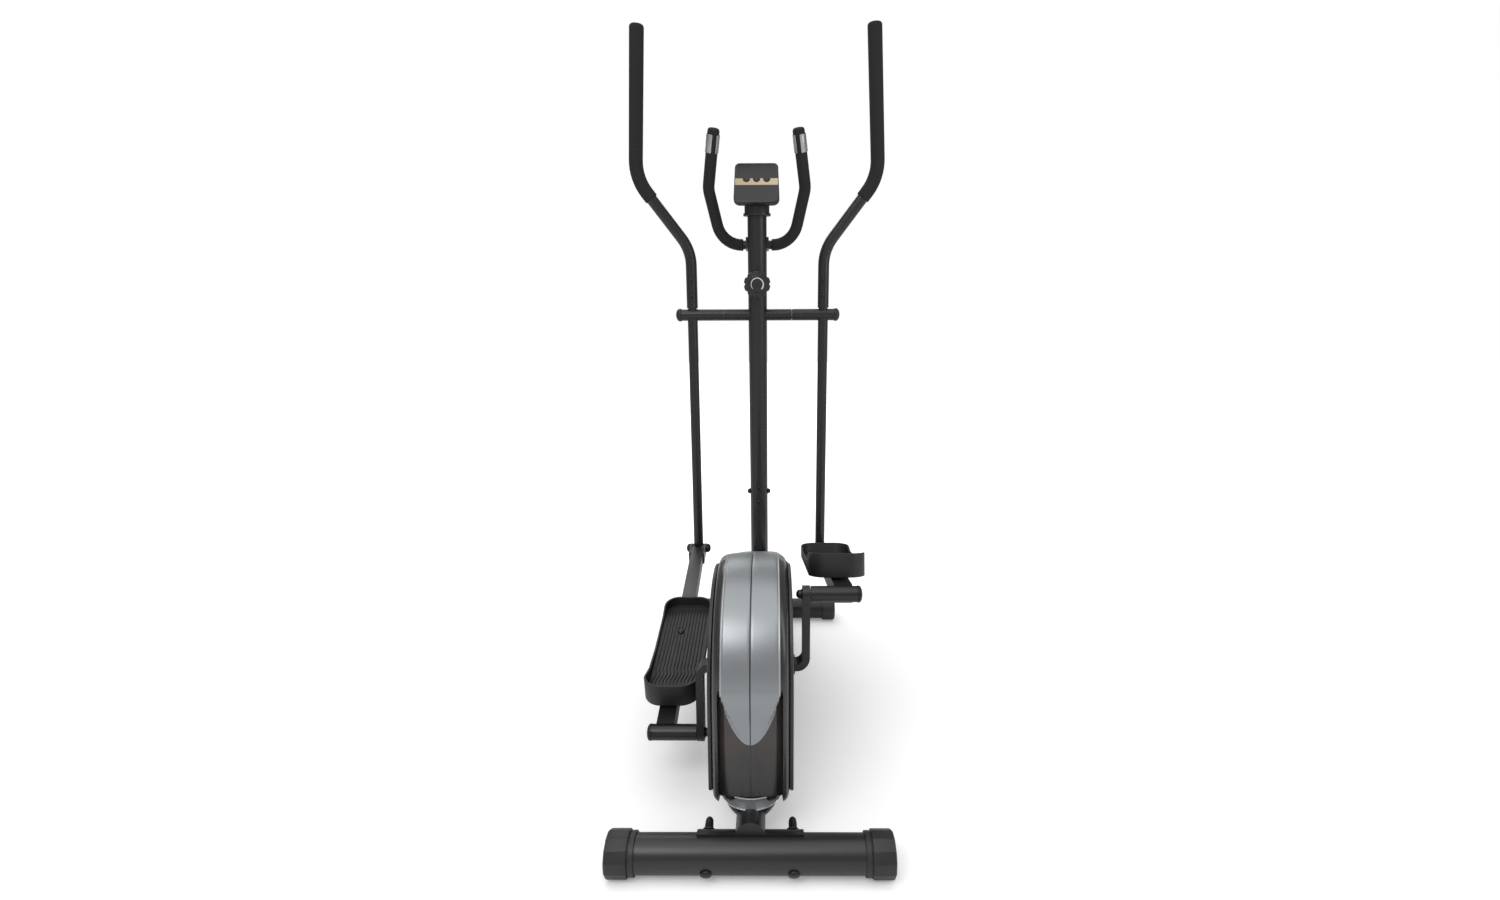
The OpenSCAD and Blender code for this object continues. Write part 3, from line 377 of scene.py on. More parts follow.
def rear_cap(side, sign):
    collar = [(cap_start - 9.6, tube_reach), (cap_start - 9.8, 30.6), (cap_start - 9.0, 31.5),
              (cap_start - 2.2, 31.5), (cap_start - 1.6, 30.5), (cap_start, 30.3)]
    rings = [[place(sign * x, y, cap_middle + z) for y, z in round_ring(r)] for x, r in collar]
    grip = [(cap_start, 31.6, 4), (cap_start + 0.8, 32.6, 4), (cap_start + 2.2, cap_flat, 4),
            (cap_end - 5.0, cap_flat, 4), (cap_end - 2.6, cap_flat - 0.7, 4.5),
            (cap_end - 1.0, cap_flat - 2.6, 6), (cap_end - 0.4, cap_flat - 5.5, 8),
            (cap_end - 0.15, cap_flat - 14, 16), (cap_end, 6, 5)]
    rings += [[place(sign * x, y, cap_middle + z) for y, z in twelve_sided(flat, corner)]
              for x, flat, corner in grip]
    piece(f"levelling_cap_{side}", f"level_cap_{side}", nylon, skin(rings), f"rear_cap_{side}",
          slot="black_plastic", sharp=24.0)


for side, sign in sides.items():
    rear_cap(side, sign)
    eased(f"front_cap_{side}", "frame", nylon, 0.0012, "black_plastic")
    eased(f"transport_wheel_{side}", f"wheel_{side}", moulded_black(f"wheel_rubber_{side}",
          (0.012, 0.012, 0.012), 0.62, 500.0), 0.0012, "wheel_rubber")


# ---------------------------------------------------------------------------
# The housing: two moulded halves that meet in a seam down the middle. A silver
# band runs over the top and down the back into a tongue, over a smoky gloss body.
corner_circles = ((56, 104, 24), (216, 248, 184), (852, 194, 46), (864, 116, 36))
run_steps = (36, 30, 10, 26)
arc_steps = (14, 44, 14, 14)
crease_height = 273
tongue_tip = 190.0
tongue_rise = 72.0
tongue_half = 45.0
nose_middle = 79.0
nose_radius = 47.4
axle_spot = (188, 246)


def tangent(a, b):
    run, rise = b[0] - a[0], b[1] - a[1]
    return atan2(rise, run) + pi / 2 + asin((b[2] - a[2]) / hypot(run, rise))


def outline(inset):
    """Y-Z points of a tight loop round the corner circles, drawn in by an inset."""
    points = []
    count = len(corner_circles)
    for i, circle in enumerate(corner_circles):
        start = tangent(corner_circles[i - 1], circle)
        stop = tangent(circle, corner_circles[(i + 1) % count])
        stop -= 2 * pi if stop > start else 0
        radius = circle[2] - inset
        turns = [start + (stop - start) * n / arc_steps[i] for n in range(arc_steps[i] + 1)]
        arc = [(circle[0] + radius * cos(a), circle[1] + radius * sin(a)) for a in turns]
        if points:
            points += between(points[-1], arc[0], run_steps[i - 1])
        points += arc
    return points + between(points[-1], points[0], run_steps[-1])


def between(a, b, steps):
    return [(a[0] + (b[0] - a[0]) * n / steps, a[1] + (b[1] - a[1]) * n / steps)
            for n in range(1, steps)]


def smooth(value, low, high):
    share = min(max((value - low) / (high - low), 0), 1)
    return share * share * (3 - 2 * share)


def bump_at(value, middle, width):
    """A soft bump of height 1 about a middle."""
    return 2.718 ** -(((value - middle) / width) ** 2)


def drawn_in(x, y, z):
    """Under the crease the back draws in a little, then turns into the round nose."""
    x = abs(x)
    if y > nose_middle or z > 300 or x > 48.6:
        return y
    y -= 0.9 * bump_at(z, crease_height, 4.5)
    y += 3.4 * smooth(z, crease_height, 212) * smooth(z, 104, 150)
    edge = tongue_tip + tongue_rise * (x / tongue_half) ** 2
    nose = nose_middle - sqrt(max(nose_radius ** 2 - x * x, 0))
    return y + (max(y, nose + 1.5) - y) * smooth(z, edge + 4, edge - 5)


def top_fold(y, z):
    """A shallow fold across the sloping top, ahead of the middle."""
    return -2.6 * bump_at(y, 600, 26) if z > 210 else 0


# Half the shell's section, as (distance from the seam, inset from the outline): outside, inside.
outer_profile = [(0, 1.5), (0.7, 1.4), (1.1, 0.3), (2, 0), (6, 0), (11, 0), (16, 0), (20, 0.1),
                 (24, 0.2), (28, 0.3), (32, 0.5), (36, 0.7), (39.5, 0.9), (42.5, 1.2), (44.2, 1.6),
                 (44.9, 2.6), (45.8, 2.6), (46.5, 1.9), (48, 2.2), (51, 3.6), (54.5, 5.4),
                 (57.5, 8.4), (59.3, 11.8), (60.3, 15.6), (61, 18.6), (62.5, 22)]
inner_profile = [(59.4, 22), (58.5, 20), (54, 16), (48, 12.4), (42, 9), (38, 5), (30, 3.8), (0, 3.6)]


def pierced(made, ring, hole):
    """Closes a flat ring of vertices with a face that leaves the hole's ring open."""
    edges = []
    for loop in (ring, hole):
        for i, vert in enumerate(loop):
            pair = (vert, loop[(i + 1) % len(loop)])
            edges.append(made.edges.get(pair) or made.edges.new(pair))
    bmesh.ops.triangle_fill(made, use_beauty=True, edges=edges)


def axle_ring(made, sign, x, radius, count=64):
    return [made.verts.new(place(sign * x, axle_spot[0] + radius * cos(2 * pi * n / count),
                                 axle_spot[1] + radius * sin(2 * pi * n / count)))
            for n in range(count)]


def housing_half(sign):
    made = bmesh.new()
    rows = []
    for profile, is_outer in ((outer_profile, True), (inner_profile, False)):
        for x, inset in profile:
            ring = []
            for y, z in outline(inset):
                if is_outer:
                    y, z = drawn_in(x, y, z), z + top_fold(y, z)
                ring.append(made.verts.new(place(sign * x, y, z)))
            rows.append(ring)
    turn = len(outer_profile)
    rings_round(made, rows[:turn])
    rings_round(made, rows[turn:])
    rings_round(made, [rows[-1], rows[0]])
    holes = [axle_ring(made, sign, x, 30) for x in (outer_profile[-1][0], inner_profile[0][0])]
    pierced(made, rows[turn - 1], holes[0])
    pierced(made, rows[turn], holes[1])
    rings_round(made, holes)
    return made


def housing_finish():
    """Silver paint on the band, with a painted highlight at its edge; smoky gloss below the tongue's edge,
    with painted light at its top and painted shade below; black on the side walls.
    """
    material, spot, shader = blank_finish("housing_paint")
    x, y, z = abs(spot.part("X")), spot.part("Y"), spot.part("Z")
    edge = x * x * (tongue_rise / tongue_half ** 2 * 1000) + tongue_tip / 1000
    over_tongue = (z - edge).step(-0.0004, 0.0004)
    forward = y.step(-0.02, -0.0198) * z.step(0.098, 0.0982)
    on_band = 1.0 - x.step(0.0470, 0.0472)
    on_top = y.step(-0.2635, -0.2625) * z.step(0.215, 0.2152) * (1.0 - x.step(0.0610, 0.0612))
    silver = (over_tongue.maths("MAXIMUM", forward) * on_band).maths("MAXIMUM", on_top)
    flake = spot.noise(2600.0, 2.0)
    drift = spot.noise(7.0)
    paint = (drift * 0.6 + flake * 0.4).tint((0.215, 0.232, 0.243), (0.335, 0.352, 0.362))
    # Painted highlight: a bright strip along the groove at the band's edge, where the raised silver edge
    # catches the light.
    painted_rim_highlight = x.between(0.0446, 0.0463, 0.0002)
    paint = (painted_rim_highlight * 0.75).tint(paint, (0.62, 0.64, 0.65))
    # Painted light and shade: the smoky body is painted lighter and browner towards the top, where light
    # from above falls, and darker towards the bottom. Noise breaks up the lighter part.
    painted_top_light = z.step(0.1, 0.2)
    smoke_and_painted_light = (painted_top_light * spot.noise(16.0)).tint((0.016, 0.016, 0.018), (0.06, 0.048, 0.042))
    black = spot.noise(30.0).tint((0.017, 0.0165, 0.016), (0.03, 0.029, 0.028))
    body = on_band.tint(black, smoke_and_painted_light)
    seam = 1.0 - x.step(0.0006, 0.0010)
    colour = (seam * 0.9).tint(silver.tint(body, paint), (0.01, 0.01, 0.011))
    orange = spot.noise(500.0, 2.0)
    rough = silver * 0.11 + 0.2 + flake * 0.05 + drift * 0.05
    dress(spot, shader, colour, rough, silver * 0.62, orange, 0.00012, Specular_IOR_Level=0.55)
    return material


housing_paint = housing_finish()
for side, sign in sides.items():
    piece(f"housing_shell_{side}", "frame", housing_paint, housing_half(sign), f"housing_{side}",
          slot="silver_plastic", sharp=50.0)


# Each side has a black moulded cover let in flush, with a round boss over the pulley whose face
# steps in rings towards the hole for the crank.
cover_profile = [(62.7, 20.5), (62.7, 19.4), (66.3, 19.2), (67.4, 19.8), (67.9, 20.8), (68.0, 22.4)]
boss_profile = [(68.0, 77.5), (68.7, 76.7), (69.0, 75.4), (69.0, 68.0), (68.5, 67.0), (68.5, 65.6),
                (69.0, 64.6), (69.0, 45.0), (68.4, 44.0), (68.4, 42.6), (69.0, 41.6), (69.0, 26.0),
                (68.3, 24.6), (66.4, 24.0), (62.7, 24.0)]


def cover_finish():
    material, spot, shader = blank_finish("side_cover_plastic")
    grain = spot.cells(1100.0)
    drift = spot.noise(12.0)
    dress(spot, shader, drift.tint((0.017, 0.0165, 0.016), (0.036, 0.035, 0.033)),
          0.36 + grain * 0.1, height=grain, depth=0.00014, Specular_IOR_Level=0.5)
    return material


cover_plastic = cover_finish()


def side_cover(side, sign):
    made = bmesh.new()
    rows = [[made.verts.new(place(sign * x, y, z)) for y, z in outline(inset)]
            for x, inset in cover_profile]
    rings_round(made, rows)
    boss = [axle_ring(made, sign, x, radius, 96) for x, radius in boss_profile]
    rings_round(made, boss)
    pierced(made, rows[-1], boss[0])
    pierced(made, rows[0], boss[-1])
    piece(f"side_panel_{side}", "frame", cover_plastic, made, f"side_cover_{side}",
          slot="black_plastic", sharp=30.0)


for side, sign in sides.items():
    side_cover(side, sign)


# The screws that hold the covers: small pan heads, their cross slot drawn as a shallow round dip,
# set by a node tree on the screw places so that one head serves for all.
screw_rows = ((330, 280), (330, 150), (560, 250), (560, 140), (790, 215), (790, 140))


def zinc_black():
    material, spot, shader = blank_finish("black_zinc")
    mottle = spot.noise(160.0)
    dress(spot, shader, mottle.tint((0.012, 0.012, 0.013), (0.045, 0.045, 0.05)),
          0.24 + mottle * 0.2, 0.75, mottle, 0.00006)
    return material


def lathe(profile, count=32):
    """A closed head turned about +Z from (radius, height) pairs, in millimetres."""
    return skin([[Vector((r * cos(2 * pi * n / count), r * sin(2 * pi * n / count), h)) / 1000
                  for n in range(count)] for r, h in profile])


def loose(name, made):
    """A mesh object that only serves as a pattern, and is taken away after its use."""
    bmesh.ops.recalc_face_normals(made, faces=made.faces)
    mesh = bpy.data.meshes.new(name)
    made.to_mesh(mesh)
    made.free()
    for face in mesh.polygons:
        face.use_smooth = True
    mesh.set_sharp_from_angle(angle=radians(38))
    obj = bpy.data.objects.new(name, mesh)
    bpy.context.scene.collection.objects.link(obj)
    return obj


def seats(name, spots):
    """One small triangle for each seat: a node tree reads its middle and its facing."""
    mesh = bpy.data.meshes.new(name)
    corners, faces = [], []
    for spot, facing in spots:
        across = facing.orthogonal().normalized() * 0.0005
        along = facing.cross(across)
        base = len(corners)
        corners += [spot + across, spot - across / 2 + along * 0.866, spot - across / 2 - along * 0.866]
        faces.append((base, base + 1, base + 2))
    mesh.from_pydata(corners, [], faces)
    obj = bpy.data.objects.new(name, mesh)
    bpy.context.scene.collection.objects.link(obj)
    return obj


def head_tree(name, material):
    """Sets a pattern head on every face of the seats, turned to face out, and sized."""
    tree = bpy.data.node_groups.new(name, "GeometryNodeTree")
    face = tree.interface
    face.new_socket("Seats", in_out="INPUT", socket_type="NodeSocketGeometry")
    face.new_socket("Head", in_out="INPUT", socket_type="NodeSocketObject")
    face.new_socket("Head Size", in_out="INPUT", socket_type="NodeSocketFloat")
    face.new_socket("Heads", in_out="OUTPUT", socket_type="NodeSocketGeometry")
    node, link = tree.nodes.new, tree.links.new
    given, made = node("NodeGroupInput"), node("NodeGroupOutput")
    points, normal = node("GeometryNodeMeshToPoints"), node("GeometryNodeInputNormal")
    points.mode = "FACES"
    held = node("GeometryNodeCaptureAttribute")
    held.domain = "FACE"
    held.capture_items.new("VECTOR", "Facing")
    turn, pattern = node("FunctionNodeAlignRotationToVector"), node("GeometryNodeObjectInfo")
    turn.axis = "Z"
    place_heads, real = node("GeometryNodeInstanceOnPoints"), node("GeometryNodeRealizeInstances")
    coated = node("GeometryNodeSetMaterial")
    coated.inputs["Material"].default_value = material
    link(given.outputs["Seats"], held.inputs["Geometry"])
    link(normal.outputs["Normal"], held.inputs["Facing"])
    link(held.outputs["Geometry"], points.inputs["Mesh"])
    link(held.outputs["Facing"], turn.inputs["Vector"])
    link(given.outputs["Head"], pattern.inputs["Object"])
    link(points.outputs["Points"], place_heads.inputs["Points"])
    link(pattern.outputs["Geometry"], place_heads.inputs["Instance"])
    link(turn.outputs["Rotation"], place_heads.inputs["Rotation"])
    link(given.outputs["Head Size"], place_heads.inputs["Scale"])
    link(place_heads.outputs["Instances"], real.inputs["Geometry"])
    link(real.outputs["Geometry"], coated.inputs["Geometry"])
    link(coated.outputs["Geometry"], made.inputs["Heads"])
    return tree


def realised(name, body, carrier, tree, settings, *replaced, slot):
    """Runs a node tree on a carrier and keeps the result as a plain mesh piece."""
    shaper = carrier.modifiers.new("shaper", "NODES")
    shaper.node_group = tree
    sockets = {item.name: item.identifier for item in tree.interface.items_tree
               if item.in_out == "INPUT"}
    for label, value in settings.items():
        shaper[sockets[label]] = value
    carrier.update_tag()
    bpy.context.view_layer.update()
    shaped = bpy.data.meshes.new_from_object(carrier.evaluated_get(
        bpy.context.evaluated_depsgraph_get()))
    carrier.modifiers.remove(shaper)
    bpy.data.objects.remove(carrier)
    shaped.name = name
    return kept(name, shaped, body, replaced, sharp=38.0)


zinc = zinc_black()
pan_head = loose("pan_head", lathe([(2.4, -0.6), (4.0, -0.5), (4.0, 0.5), (3.8, 1.0), (3.2, 1.6),
                                    (2.3, 1.95), (1.9, 2.0), (1.5, 1.2), (0.5, 1.1)], 24))
screw_seats = seats("cover_screws_seats", [(place(sign * 67.9, y, z), Vector((sign, 0, 0)))
                                           for sign in (-1, 1) for y, z in screw_rows])
realised("cover_screws", "frame", screw_seats, head_tree("set_heads", zinc),
         {"Head": pan_head, "Head Size": 1.0}, "housing_screws", slot="black_zinc")
bpy.data.objects.remove(pan_head)


# The foot of the rounded back: a bright crescent with a raised bead along both edges, over a
# black bowl that closes the housing down to the main tube.
crescent_middle = 92.0
crescent_radius = 48.9
crescent_turn = radians(74)


def crescent_half_height(turn):
    return 6.4 + 4.2 * cos(turn * 90 / 74 * 0.9)


def nose_point(turn, radius, z):
    return place(radius * sin(turn), nose_middle - radius * cos(turn), z)


def chrome():
    material, spot, shader = blank_finish("bright_trim")
    haze = spot.noise(220.0)
    dress(spot, shader, haze.tint((0.66, 0.68, 0.7), (0.82, 0.83, 0.84)), 0.12 + haze * 0.12, 1.0,
          haze, 0.00004)
    return material


def brushed_silver():
    material, spot, shader = blank_finish("brushed_silver")
    streaks = spot.stretched(30.0, 30.0, 1500.0).noise(1.0, 4.0)
    dress(spot, shader, streaks.tint((0.30, 0.32, 0.33), (0.42, 0.44, 0.45)), 0.28 + streaks * 0.15,
          0.7, streaks, 0.00004)
    return material


def crescent():
    turns = [-crescent_turn + 2 * crescent_turn * n / 60 for n in range(61)]
    rings = []
    for turn in turns:
        half = crescent_half_height(turn)
        low, high = crescent_middle - half, crescent_middle + half
        rings.append([nose_point(turn, crescent_radius + out, z) for out, z in (
            (-1.6, low), (0, low), (0.2, low + 1), (-0.1, low + 2.2), (-0.2, high - 2.2),
            (0.2, high - 1), (0, high), (-1.6, high))])
    piece("crescent_field", "frame", brushed_silver(), skin(rings), "crescent_trim", slot="chrome_trim")
    edge = [(turn, crescent_middle + crescent_half_height(turn) - 0.9) for turn in turns]
    edge += [(crescent_turn + past, crescent_middle + up)
             for past, up in ((0.012, 3), (0.016, 0), (0.012, -3))]
    edge += [(turn, crescent_middle - crescent_half_height(turn) + 0.9) for turn in turns[::-1]]
    edge += [(-crescent_turn - past, crescent_middle + up)
             for past, up in ((0.012, -3), (0.016, 0), (0.012, 3))]
    bead = []
    for n, (turn, z) in enumerate(edge):
        before, after = edge[n - 1], edge[(n + 1) % len(edge)]
        along = (nose_point(after[0], crescent_radius, after[1])
                 - nose_point(before[0], crescent_radius, before[1])).normalized()
        out = Vector((sin(turn), -cos(turn), 0))
        over = along.cross(out).normalized()
        middle = nose_point(turn, crescent_radius + 0.2, z)
        bead.append([middle + (out * cos(a) + over * sin(a)) * 0.0011
                     for a in (radians(45 * k) for k in range(8))])
    piece("crescent_bead", "frame", chrome(), skin(bead + bead[:1], ended=False), slot="chrome_trim")


def bowl():
    levels = [(43.0, nose_middle, 81.2)]
    for share in (n / 14 for n in range(15)):
        levels.append((29.4 + 15.0 * cos(share * pi / 2) ** 0.85, nose_middle - 6 * share,
                       80.6 - 24.4 * share ** 1.1))
    rings = [[place(radius * sin(a), y - radius * cos(a), z) for a in (2 * pi * k / 64 for k in range(64))]
             for radius, y, z in levels]
    piece("lower_bowl", "frame", moulded_black("bowl_plastic", (0.016, 0.0155, 0.016), 0.24, 1400.0),
          skin(rings), "lower_shroud", slot="black_plastic")


crescent()
bowl()


# ---------------------------------------------------------------------------
# The frame's fastenings: carriage bolts and acorn nuts on the stabilisers, domed bolts at the
# post's joint, and domed caps over the ends of the cross axle.
eased("stabiliser_bolts", "frame", zinc, 0.0006, "black_zinc")
eased("post_bolts", "frame", zinc, 0.0006, "black_zinc")
eased("axle_caps", "frame", moulded_black("axle_cap_black"), 0.0008, "black_plastic")


# ---------------------------------------------------------------------------
# The console: a small case tilted towards the user. A gilt band crosses its gloss face and dips
# round each of the three keys; the display sits above, behind its own window.
pivot_y, pivot_z = 820, 884
post_lean = radians(7)
post_top = 1128.2
face_y, face_z = 752, 1192
face_lean = radians(21)
face_out = Vector((0, -cos(face_lean), sin(face_lean)))


def post_y(z):
    """The post's centre line at a height."""
    return pivot_y + (pivot_z - z) * tan(post_lean)


def on_console(x, depth, up):
    """A point from the middle of the console's face: depth goes into the case."""
    return place(x, face_y + depth * cos(face_lean) + up * sin(face_lean),
                 face_z - depth * sin(face_lean) + up * cos(face_lean))


def case_ring(depth, inset, raised):
    """One ring of the case, drawn in by an inset: rounder at the foot, which can be raised."""
    foot = -54 + inset + raised
    corners = [(55 - inset, foot, 15, -90), (52.5 - inset, 54 - inset, 11, 0),
               (-52.5 + inset, 54 - inset, 11, 90), (-55 + inset, foot, 15, 180)]
    ring = []
    for x, up, radius, start in corners:
        mid_x = x - radius if x > 0 else x + radius
        mid_up = up + radius if up < 0 else up - radius
        for n in range(9):
            a = radians(start + n * 90 / 8)
            ring.append(on_console(mid_x + radius * cos(a), depth, mid_up + radius * sin(a)))
    return ring


def case_finish():
    material, spot, shader = blank_finish("console_gloss")
    middle = on_console(0, 0, 0)
    x, y, z = abs(spot.part("X")), spot.part("Y") - middle.y, spot.part("Z") - middle.z
    up = z * cos(face_lean) + y * sin(face_lean)
    front = 1.0 - (y * cos(face_lean) - z * sin(face_lean)).step(0.0012, 0.0020)
    level = (up - 0.010) * (up - 0.010)
    from_middle = (x * x + level) ** 0.5
    from_outer = ((x - 0.0245) * (x - 0.0245) + level) ** 0.5
    dips = from_middle.step(0.0086, 0.0092) * from_outer.step(0.0086, 0.0092)
    gilt = up.between(-0.006, 0.0116, 0.0003) * dips * front * (1.0 - x.step(0.0515, 0.052))
    grain = spot.noise(900.0)
    drift = spot.noise(24.0)
    dress(spot, shader, gilt.tint((0.008, 0.008, 0.009), (0.40, 0.33, 0.23)),
          0.34 - front * 0.2 + gilt * 0.14 + drift * 0.05, gilt * 0.85, grain, 0.00006)
    return material


def display_finish():
    material, spot, shader = blank_finish("display_glass")
    x, z = spot.part("X"), spot.part("Z")
    rows = (z * 1800.0).maths("SINE") * 0.5 + 0.5
    haze = spot.noise(60.0)
    dress(spot, shader, (haze * 0.6 + rows * 0.15).tint((0.13, 0.15, 0.14), (0.24, 0.27, 0.25)),
          0.12 + haze * 0.1, 0.0, rows, 0.00001, Coat_Weight=0.6)
    return material


def key_rubber():
    material, spot, shader = blank_finish("key_rubber")
    grain = spot.noise(1500.0)
    dress(spot, shader, grain.tint((0.016, 0.016, 0.017), (0.03, 0.03, 0.032)),
          0.5 + grain * 0.15, 0.0, grain, 0.00008)
    return material


def turned(made, spot, facing):
    """Moves a head drawn about +Z to a spot, turned to face out."""
    turn = Vector((0, 0, 1)).rotation_difference(facing).to_matrix().to_4x4()
    turn.translation = spot
    bmesh.ops.transform(made, matrix=turn, verts=made.verts)
    return made


case_rows = ((0.3, 3.2, 0), (0.0, 2.4, 0), (0.1, 1.3, 0), (0.9, 0.4, 0), (2.4, 0, 0), (14, 0, 1),
             (20, 0.6, 4), (25, 2.2, 9), (30, 5.5, 15), (36, 10, 21), (39.6, 17, 25))
piece("console", "frame", case_finish(), skin([case_ring(*row) for row in case_rows]), "console_case",
      slot="gloss_black", sharp=50.0)
neck = lathe([(30.9, 0), (30.9, 20), (30, 28), (27, 33), (20, 34)], 48)
piece("console_neck", "frame", moulded_black("neck_black"), turned(
    neck, place(0, post_y(post_top - 0.2), post_top),
    Vector((0, -sin(post_lean), cos(post_lean)))), slot="gloss_black")
eased("console_lens", "frame", display_finish(), 0.0004, "display_window")
rubber_black = key_rubber()
for name, key_x in (("left", -24.5), ("middle", 0), ("right", 24.5)):
    head = lathe([(5.6, -5), (5.6, 0.4), (5.3, 1.1), (4.4, 1.6), (2.2, 1.3), (0.6, 1.2)], 32)
    piece("key_" + name + "_cap", "key_" + name, rubber_black,
          turned(head, on_console(key_x, 0, 10), face_out), "button_" + name, slot="button_rubber")


# ---------------------------------------------------------------------------
# The tension knob: ten shallow scallops round the rim, and a raised round face with a mark that
# swells along its arc to show which way is harder.
knob_z = 961
knob_radius = 33.0
knob_seat = place(0, post_y(knob_z), knob_z)
knob_out = Vector((0, -cos(post_lean), -sin(post_lean)))
boss_face = 32.3


def knob_finish():
    material, spot, shader = blank_finish("knob_black")
    x, y, z = spot.part("X"), spot.part("Y") - knob_seat.y, spot.part("Z") - knob_seat.z
    up = z * cos(post_lean) - y * sin(post_lean)
    ahead = (y * cos(post_lean) + z * sin(post_lean)) * -1.0
    radius = (x * x + up * up) ** 0.5
    share = x.maths("ARCTAN2", up) * 0.16 + 0.5
    mark = radius.step(0.0138, 0.0141) * (1.0 - (radius - share * 0.0028).step(0.0146, 0.0149))
    mark = mark * share.between(0.12, 0.88, 0.01) * ahead.step(0.0545, 0.0550)
    grain = spot.noise(1100.0)
    dress(spot, shader, mark.tint((0.012, 0.012, 0.013), (0.62, 0.62, 0.6)),
          0.36 + grain * 0.16, 0.0, grain, 0.00008)
    return material


def knob_ring(share, depth, count=160):
    """One ring of the knob: scalloped round the grip, plain on the raised face ahead of it."""
    ring = []
    for a in (2 * pi * n / count for n in range(count)):
        scallop = 3.0 * max(cos(10 * a), 0) ** 1.4 if depth < 20.2 else 0
        radius = share * (knob_radius - scallop)
        ring.append(Vector((radius * cos(a), radius * sin(a), boss_face + depth)) / 1000)
    return ring


knob_rows = ((0.90, 0), (0.985, 0.8), (1, 2.0), (1, 9), (1, 16), (0.985, 18.2), (0.94, 19.6),
             (0.87, 20.1), (0.66, 20.3), (0.62, 20.9), (0.615, 22.6), (0.59, 23.6), (0.55, 24.0),
             (0.3, 23.6), (0.05, 23.5))
piece("knob", "knob", knob_finish(), turned(skin([knob_ring(*row) for row in knob_rows]),
                                            knob_seat, knob_out),
      "tension_knob", slot="black_plastic", sharp=50.0)


def cable_black():
    material, spot, shader = blank_finish("cable_black")
    grain = spot.noise(500.0)
    dress(spot, shader, grain.tint((0.01, 0.01, 0.01), (0.02, 0.02, 0.021)), 0.4 + grain * 0.2,
          0.0, grain, 0.00008)
    return material


cover(cable_black(), "tension_cable")


# ---------------------------------------------------------------------------
# The fixed handlebar: a bent tube in the frame's coat, a foam sleeve over each side, and a bright
# pulse plate round the top of each sleeve.
def round_bend(before, corner, after, radius, count):
    """The points of a round bend that takes the place of a corner."""
    back, ahead = (before - corner).normalized(), (after - corner).normalized()
    half = back.angle(ahead) / 2
    start, stop = corner + back * radius / tan(half), corner + ahead * radius / tan(half)
    middle = corner + (back + ahead).normalized() * radius / sin(half)
    a, sweep = start - middle, pi - 2 * half
    across = ((stop - middle) - a * cos(sweep)) / sin(sweep)
    return [middle + a * cos(sweep * n / count) + across * sin(sweep * n / count)
            for n in range(count + 1)]


def bent(corners, radius, count):
    """A path with its corners rounded; the corners are (x, y, z) in millimetres."""
    corners = [Vector(corner) for corner in corners]
    points = [corners[0]]
    for before, corner, after in zip(corners, corners[1:], corners[2:]):
        points += round_bend(before, corner, after, radius, count)
    return points + [corners[-1]]


def hose(path, radii, count=28):
    """A bmesh swept along a path with a radius at every point."""
    rings = []
    side = Vector((0, 1, 0.3)).normalized()
    for i, (spot, radius) in enumerate(zip(path, radii)):
        ahead = (path[min(i + 1, len(path) - 1)] - path[max(i - 1, 0)]).normalized()
        across = side.cross(ahead).normalized()
        over = ahead.cross(across)
        rings.append([spot + radius * (cos(a) * across + sin(a) * over)
                      for a in (2 * pi * n / count for n in range(count))])
    return skin(rings)


def foam_sleeve(line, radius, mouth=1.6, crown=9.0):
    """Foam along a line: a soft mouth at its start, and a crowned end past its last point."""
    first, last = (line[1] - line[0]).normalized(), (line[-1] - line[-2]).normalized()
    path = [line[0] + first * step for step in (0, 0.4 * mouth, mouth, 2.2 * mouth)]
    radii = [radius - 2.2, radius - 0.7, radius - 0.1, radius]
    spaced = []
    for a, b in zip(line, line[1:]):
        count = max(1, int((b - a).length / 9))
        spaced += [a + (b - a) * n / count for n in range(count)]
    path += [spot for spot in spaced if (spot - line[0]).dot(first) > 3 * mouth]
    radii += [radius] * (len(path) - 4)
    for n in range(9):
        a = radians(n * 90 / 8)
        path.append(line[-1] + last * (crown * sin(a)))
        radii.append(max(radius * (0.32 + 0.68 * cos(a) ** 0.55), 1) if n < 8 else radius * 0.3)
    return path, radii


def foam_black():
    material, spot, shader = blank_finish("foam_black")
    pores = spot.cells(1300.0)
    drift = spot.noise(60.0)
    dress(spot, shader, (pores * 0.5 + drift * 0.5).tint((0.008, 0.008, 0.009), (0.02, 0.02, 0.021)),
          0.72 + drift * 0.15, 0.0, pores, 0.0004, Specular_IOR_Level=0.35)
    return material


foam = foam_black()
cover(coat, "fixed_handlebar")
bar_z = 1060
bar_y = post_y(bar_z) + 35.8
foam_start = 36
for side, sign in sides.items():
    bar = bent([(0, bar_y, bar_z), (90, bar_y, bar_z), (119, bar_y - 48, bar_z + 126),
                (100, bar_y - 102, bar_z + 242)], 62, 9)
    path, radii = foam_sleeve([Vector((foam_start, bar_y, bar_z))] + bar[1:], 14.4, crown=7.4)
    made = hose([place(sign * p.x, p.y, p.z) for p in path], [r / 1000 for r in radii])
    piece("fixed_foam_" + side, "frame", foam, made, "fixed_grip_" + side, slot="foam",
                    sharp=60.0)


def sensor_plate():
    material, spot, shader = blank_finish("sensor_plate")
    brushed = spot.stretched(900.0, 900.0, 60.0).noise(1.0, 3.0)
    dress(spot, shader, brushed.tint((0.30, 0.31, 0.32), (0.5, 0.51, 0.52)), 0.26 + brushed * 0.16,
          0.9, brushed, 0.00004)
    return material


eased("pulse_sensors", "frame", sensor_plate(), 0.0006, "sensor_metal")


